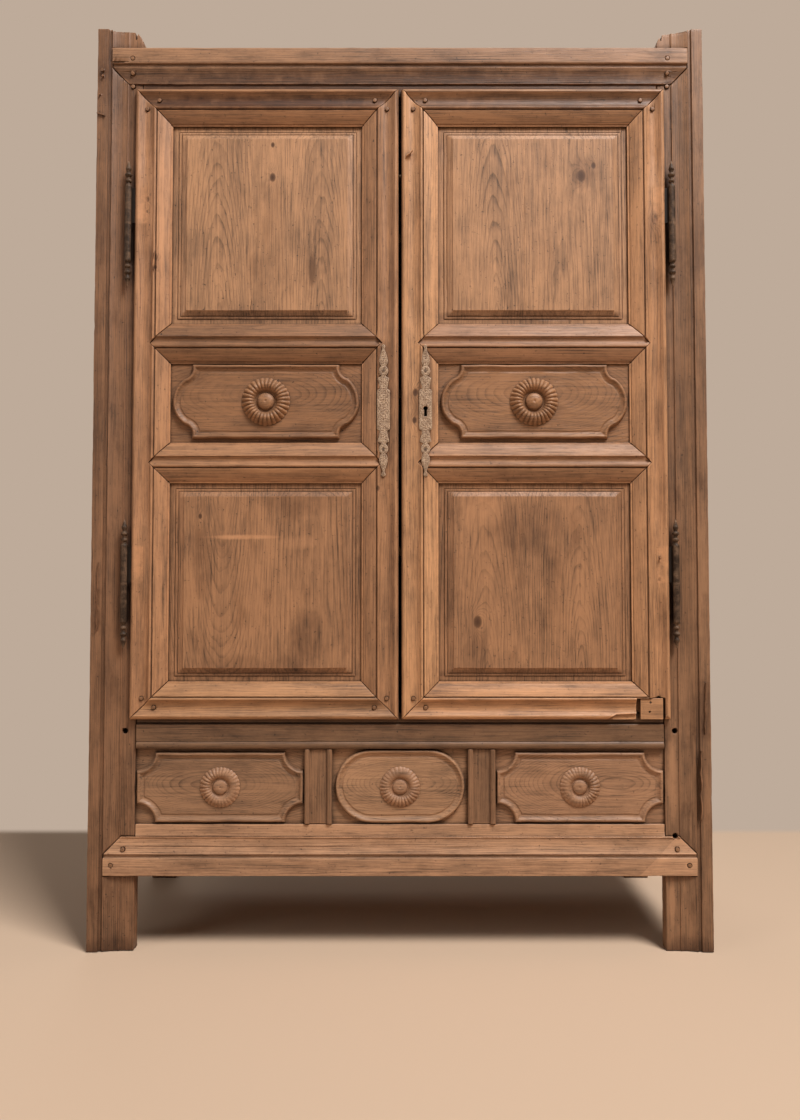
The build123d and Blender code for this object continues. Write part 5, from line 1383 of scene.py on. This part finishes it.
for side, outward in (("left", -1), ("right", 1)):
    leaf = {part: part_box(f"{side}_{part}") for part in ("hinge_stile", "meeting_stile", "top_rail",
                                                         "bottom_rail")}
    outer = leaf["hinge_stile"][0].x if side == "left" else leaf["hinge_stile"][1].x
    inner = leaf["meeting_stile"][1].x if side == "left" else leaf["meeting_stile"][0].x
    starts = {"hinge_stile": (0, outer, -outward), "meeting_stile": (0, inner, outward),
              "top_rail": (2, leaf["top_rail"][1].z, -1),
              "bottom_rail": (2, leaf["bottom_rail"][0].z, 1)}
    for part, start in starts.items():
        node = f"{side}_{part}"
        low, high = leaf[part]
        middle = (low + high) / 2
        grain, pith = ("z", middle.x) if start[0] == 0 else ("x", middle.z)
        calm = {"meeting_stile": PLATE_CALM, "hinge_stile": LEAF_CALM}.get(part, ())
        early = [(2, z + way * (half + CALM_FADE * number / 3)) for z, half in calm
                 for number in range(4) for way in (-1, 1)]
        dress(node, "door_frame_wood", grain, DOOR_TONES[node],
              {"sink": door_sink(*start, calm=calm), "cuts": DOOR_CUTS.get(node, ()), "early": early},
              boards=((pith + 0.07, 0.035, 0.008),), wander=0.025, knots=DOOR_KNOTS.get(node, ()),
              stains=DOOR_STAINS_AND_SHADE.get(node, ()), faded=DOOR_PAINTED_HIGHLIGHTS.get(node, ()), **DOOR_LOOK)
    for part in ("upper_crossrail", "lower_crossrail"):
        node = f"{side}_{part}"
        low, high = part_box(node)
        dress(node, "door_frame_wood", "x", DOOR_TONES[node], {"sink": crossrail_sink(low.z, high.z)},
              boards=((high.z + 0.03, 0.04, 0.006),), stains=DOOR_STAINS_AND_SHADE.get(node, ()), **DOOR_LOOK)

PANEL_LOOK = {"upper": {"mean": UPPER, "ring": 5.5 * MM, "contrast": 0.4, "age": 0.45},
              "lower": {"mean": LOWER, "ring": 6 * MM, "contrast": 0.45, "age": 0.55,
                        "wander": 0.03}}
# The band near the bottom of each panel's margin, among its stains, is painted shade on the margin
# that faces down.
PANEL_MARKS = {
    "left_upper_panel": {
        "boards": ((-0.433, -0.169, 0.12), (-0.5, 0.05, 0.02, 0.05), (-0.187, -0.175, 0.12)),
        "joints": (-0.349, -0.262), "knots": ((1.9, -0.304, 0.005), (1.821, -0.304, 0.008)),
        "stains": ((1.596, -0.208, 0.05, 0.01, 0.6), (1.7, -0.3, 0.16, 0.03, 0.15),
                   (1.487, -0.317, 0.015, 0.3, 0.7)),
        "faded": ((1.86, -0.28, 0.08, 0.1, 0.15),)},
    "right_upper_panel": {
        "boards": ((0.227, -0.18, 0.12), (0.38, 0.03, 0.02)),
        "joints": (0.293,), "knots": ((1.825, 0.433, 0.011), (1.85, 0.462, 0.006)),
        "stains": ((1.84, 0.44, 0.05, 0.035, 0.4), (1.487, 0.317, 0.015, 0.3, 0.7)),
        "faded": ((1.6, 0.2, 0.14, 0.06, 0.2),)},
    "left_lower_panel": {
        "boards": ((-0.42, 0.17, -0.15), (-0.2, 0.07, 0.02)),
        "joints": (-0.3,), "knots": ((1.01, -0.47, 0.005),),
        "stains": ((1.05, -0.25, 0.05, 0.1, 0.35), (0.72, -0.22, 0.08, 0.05, 0.35),
                   (0.9, -0.46, 0.1, 0.03, 0.25), (0.66, -0.35, 0.03, 0.16, 0.3),
                   (0.64, -0.317, 0.014, 0.3, 0.6)),
        "faded": ((0.961, -0.37, 0.007, 0.1, 0.75), (0.948, -0.24, 0.02, 0.05, 0.35))},
    "right_lower_panel": {
        "boards": ((0.2, -0.07, 0.12), (0.42, -0.075, 0.12)),
        "joints": (0.3,), "knots": ((0.762, 0.182, 0.011),),
        "stains": ((0.98, 0.3, 0.07, 0.12, 0.3), (0.7, 0.18, 0.06, 0.03, 0.3),
                   (0.86, 0.36, 0.1, 0.03, 0.25), (0.64, 0.317, 0.014, 0.3, 0.6)),
        "faded": ((1.02, 0.2, 0.05, 0.06, 0.25),)}}
PANEL_CUTS = {
    "left_upper_panel": [
        crack((-0.352, 1.466), (-0.353, 1.534), width=1.0 * MM, depth=6 * MM, face=6 * MM),
        crack((-0.262, 1.952), (-0.262, 1.925), width=0.8 * MM, depth=5 * MM, face=5 * MM)],
    "right_upper_panel": [
        crack((0.296, 1.952), (0.297, 1.46), width=0.5 * MM, depth=6 * MM, face=3.4 * MM,
              sway=1 * MM)]}
for node, marks in PANEL_MARKS.items():
    look = PANEL_LOOK["upper" if "upper" in node else "lower"]
    raised_panel(node, wood(node, "z", marks_to=DOOR_FRONT, **look, **marks), "door_panel_wood",
                 cuts=PANEL_CUTS.get(node, ()))
dress("repair_block", "door_frame_wood", "x", DOOR, {"chips": 0.9 * MM},
      boards=((0.6, 0.05, 0.0),), age=0.8)

# ---- Carved panels and rosettes
OGEE = {"half": 87.5 * MM, "flat": 173 * MM, "bulge": 220 * MM}
GROUND = 11.1 * MM            # carved ground of the doors behind the post fronts
PETALS = 30
WORN_LOW = 0.85               # the apron's rosettes are this share as high
# The rosettes' arrises are less pale, with less worn wax and less painted highlight.
ROSETTE_LOOK = {"contrast": 0.2, "age": 0.6, "rub": 0.4}
for side in ("left", "right"):
    node = f"{side}_middle_panel"
    low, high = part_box(f"{side}_rosette")
    middle = (low + high) / 2
    figure = (middle.x + 0.015, middle.z + 0.02, 0.13, 0.06, 0.14)
    carved(node, wood(node, "x", MIDDLE[side], boards=((middle.z + 0.01, 0.11, 0.05),), wander=0.08,
                      ring=0.008, contrast=0.34, age=0.45, figures=(figure,)), "door_panel_wood",
           outline_about(middle.x, middle.z, ogee_path(**OGEE)), relief=11 * MM,
           field=6 * MM, ground_depth=GROUND, seed=middle.x)
    mesh = rosette_mesh(f"{side}_rosette_carved", (middle.x, middle.z), (high.x - low.x) / 2,
                        high.y - low.y, PETALS, high.y)
    link(f"{side}_rosette_wood", mesh,
         wood(f"{side}_rosette", "x", ROSETTE, boards=((middle.z, 0.06, 0.0),), **ROSETTE_LOOK),
         f"{side}_rosette", "rosette_wood")

APRON_GROUND = 18.1 * MM
APRON_GROOVE = 7.5 * MM       # panel edges hidden in the grooves
SCOOP = 43 * MM               # radius of the scooped corners
FIGURE_AT = {"left": -0.02, "centre": 0.03, "right": 0.1}
middle_z = (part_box("apron_rosettes")[0].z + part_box("apron_rosettes")[1].z) / 2
for part in ("left", "centre", "right"):
    node = f"apron_{part}_panel"
    low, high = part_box(node)
    x0, x1 = low.x + APRON_GROOVE, high.x - APRON_GROOVE
    z0, z1 = low.z + APRON_GROOVE, high.z - APRON_GROOVE
    middle_x, wide, tall = (x0 + x1) / 2, (x1 - x0) / 2, (z1 - z0) / 2
    if part == "centre":
        path, drop = round_ended_path(wide - 7 * MM, tall - 3 * MM), 0.0
    else:
        path, drop = scooped_path(wide - 3 * MM, tall - 6.5 * MM, SCOOP), 2.5 * MM
    outline = outline_about(middle_x, (z0 + z1) / 2 - drop, path)
    figure = (middle_x + FIGURE_AT[part], middle_z + 0.008, 0.15, 0.055, 0.24)
    carved(node, wood(node, "x", APRON[part], boards=((middle_z, 0.08, 0.03),), wander=0.06,
                      ring=0.009, contrast=0.42, age=0.5, figures=(figure,)), "apron_wood", outline,
           relief=10 * MM, field=5 * MM, ground_depth=APRON_GROUND, seed=x0)

low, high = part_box("apron_rosettes")
radius = (high.z - low.z) / 2
apron_rosette_wood = wood("apron_rosettes", "x", APRON["right"], boards=((middle_z, 0.06, 0.0),),
                          **ROSETTE_LOOK)
for number, x in enumerate((low.x + radius, 0.0, high.x - radius)):
    mesh = rosette_mesh(f"apron_rosette_{number}", (x, middle_z), radius,
                        (high.y - low.y) * WORN_LOW, PETALS, high.y, wear=0.8)
    link(f"apron_rosette_{number}_wood", mesh, apron_rosette_wood, "apron_rosettes",
         "rosette_wood")

# ---- Ironwork
for node in ("left_hinge_knuckles", "right_hinge_knuckles", "post_hinge_knuckles", "hinge_pins"):
    paint(node, hinge_iron)
for node in ("left_escutcheon", "right_escutcheon"):
    low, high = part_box(node)
    mesh = plate_mesh(node + "_chased", low, high, (low.z + high.z) / 2, node.startswith("right"))
    link(node + "_iron", mesh, plate_iron, node, "plate_iron")
for node in ("left_door_nails", "right_door_nails", "lock_case", "lock_bolt", "lock_keeper",
             "bolt_brackets", "top_bolt", "bottom_bolt"):
    paint(node, bolt_iron)
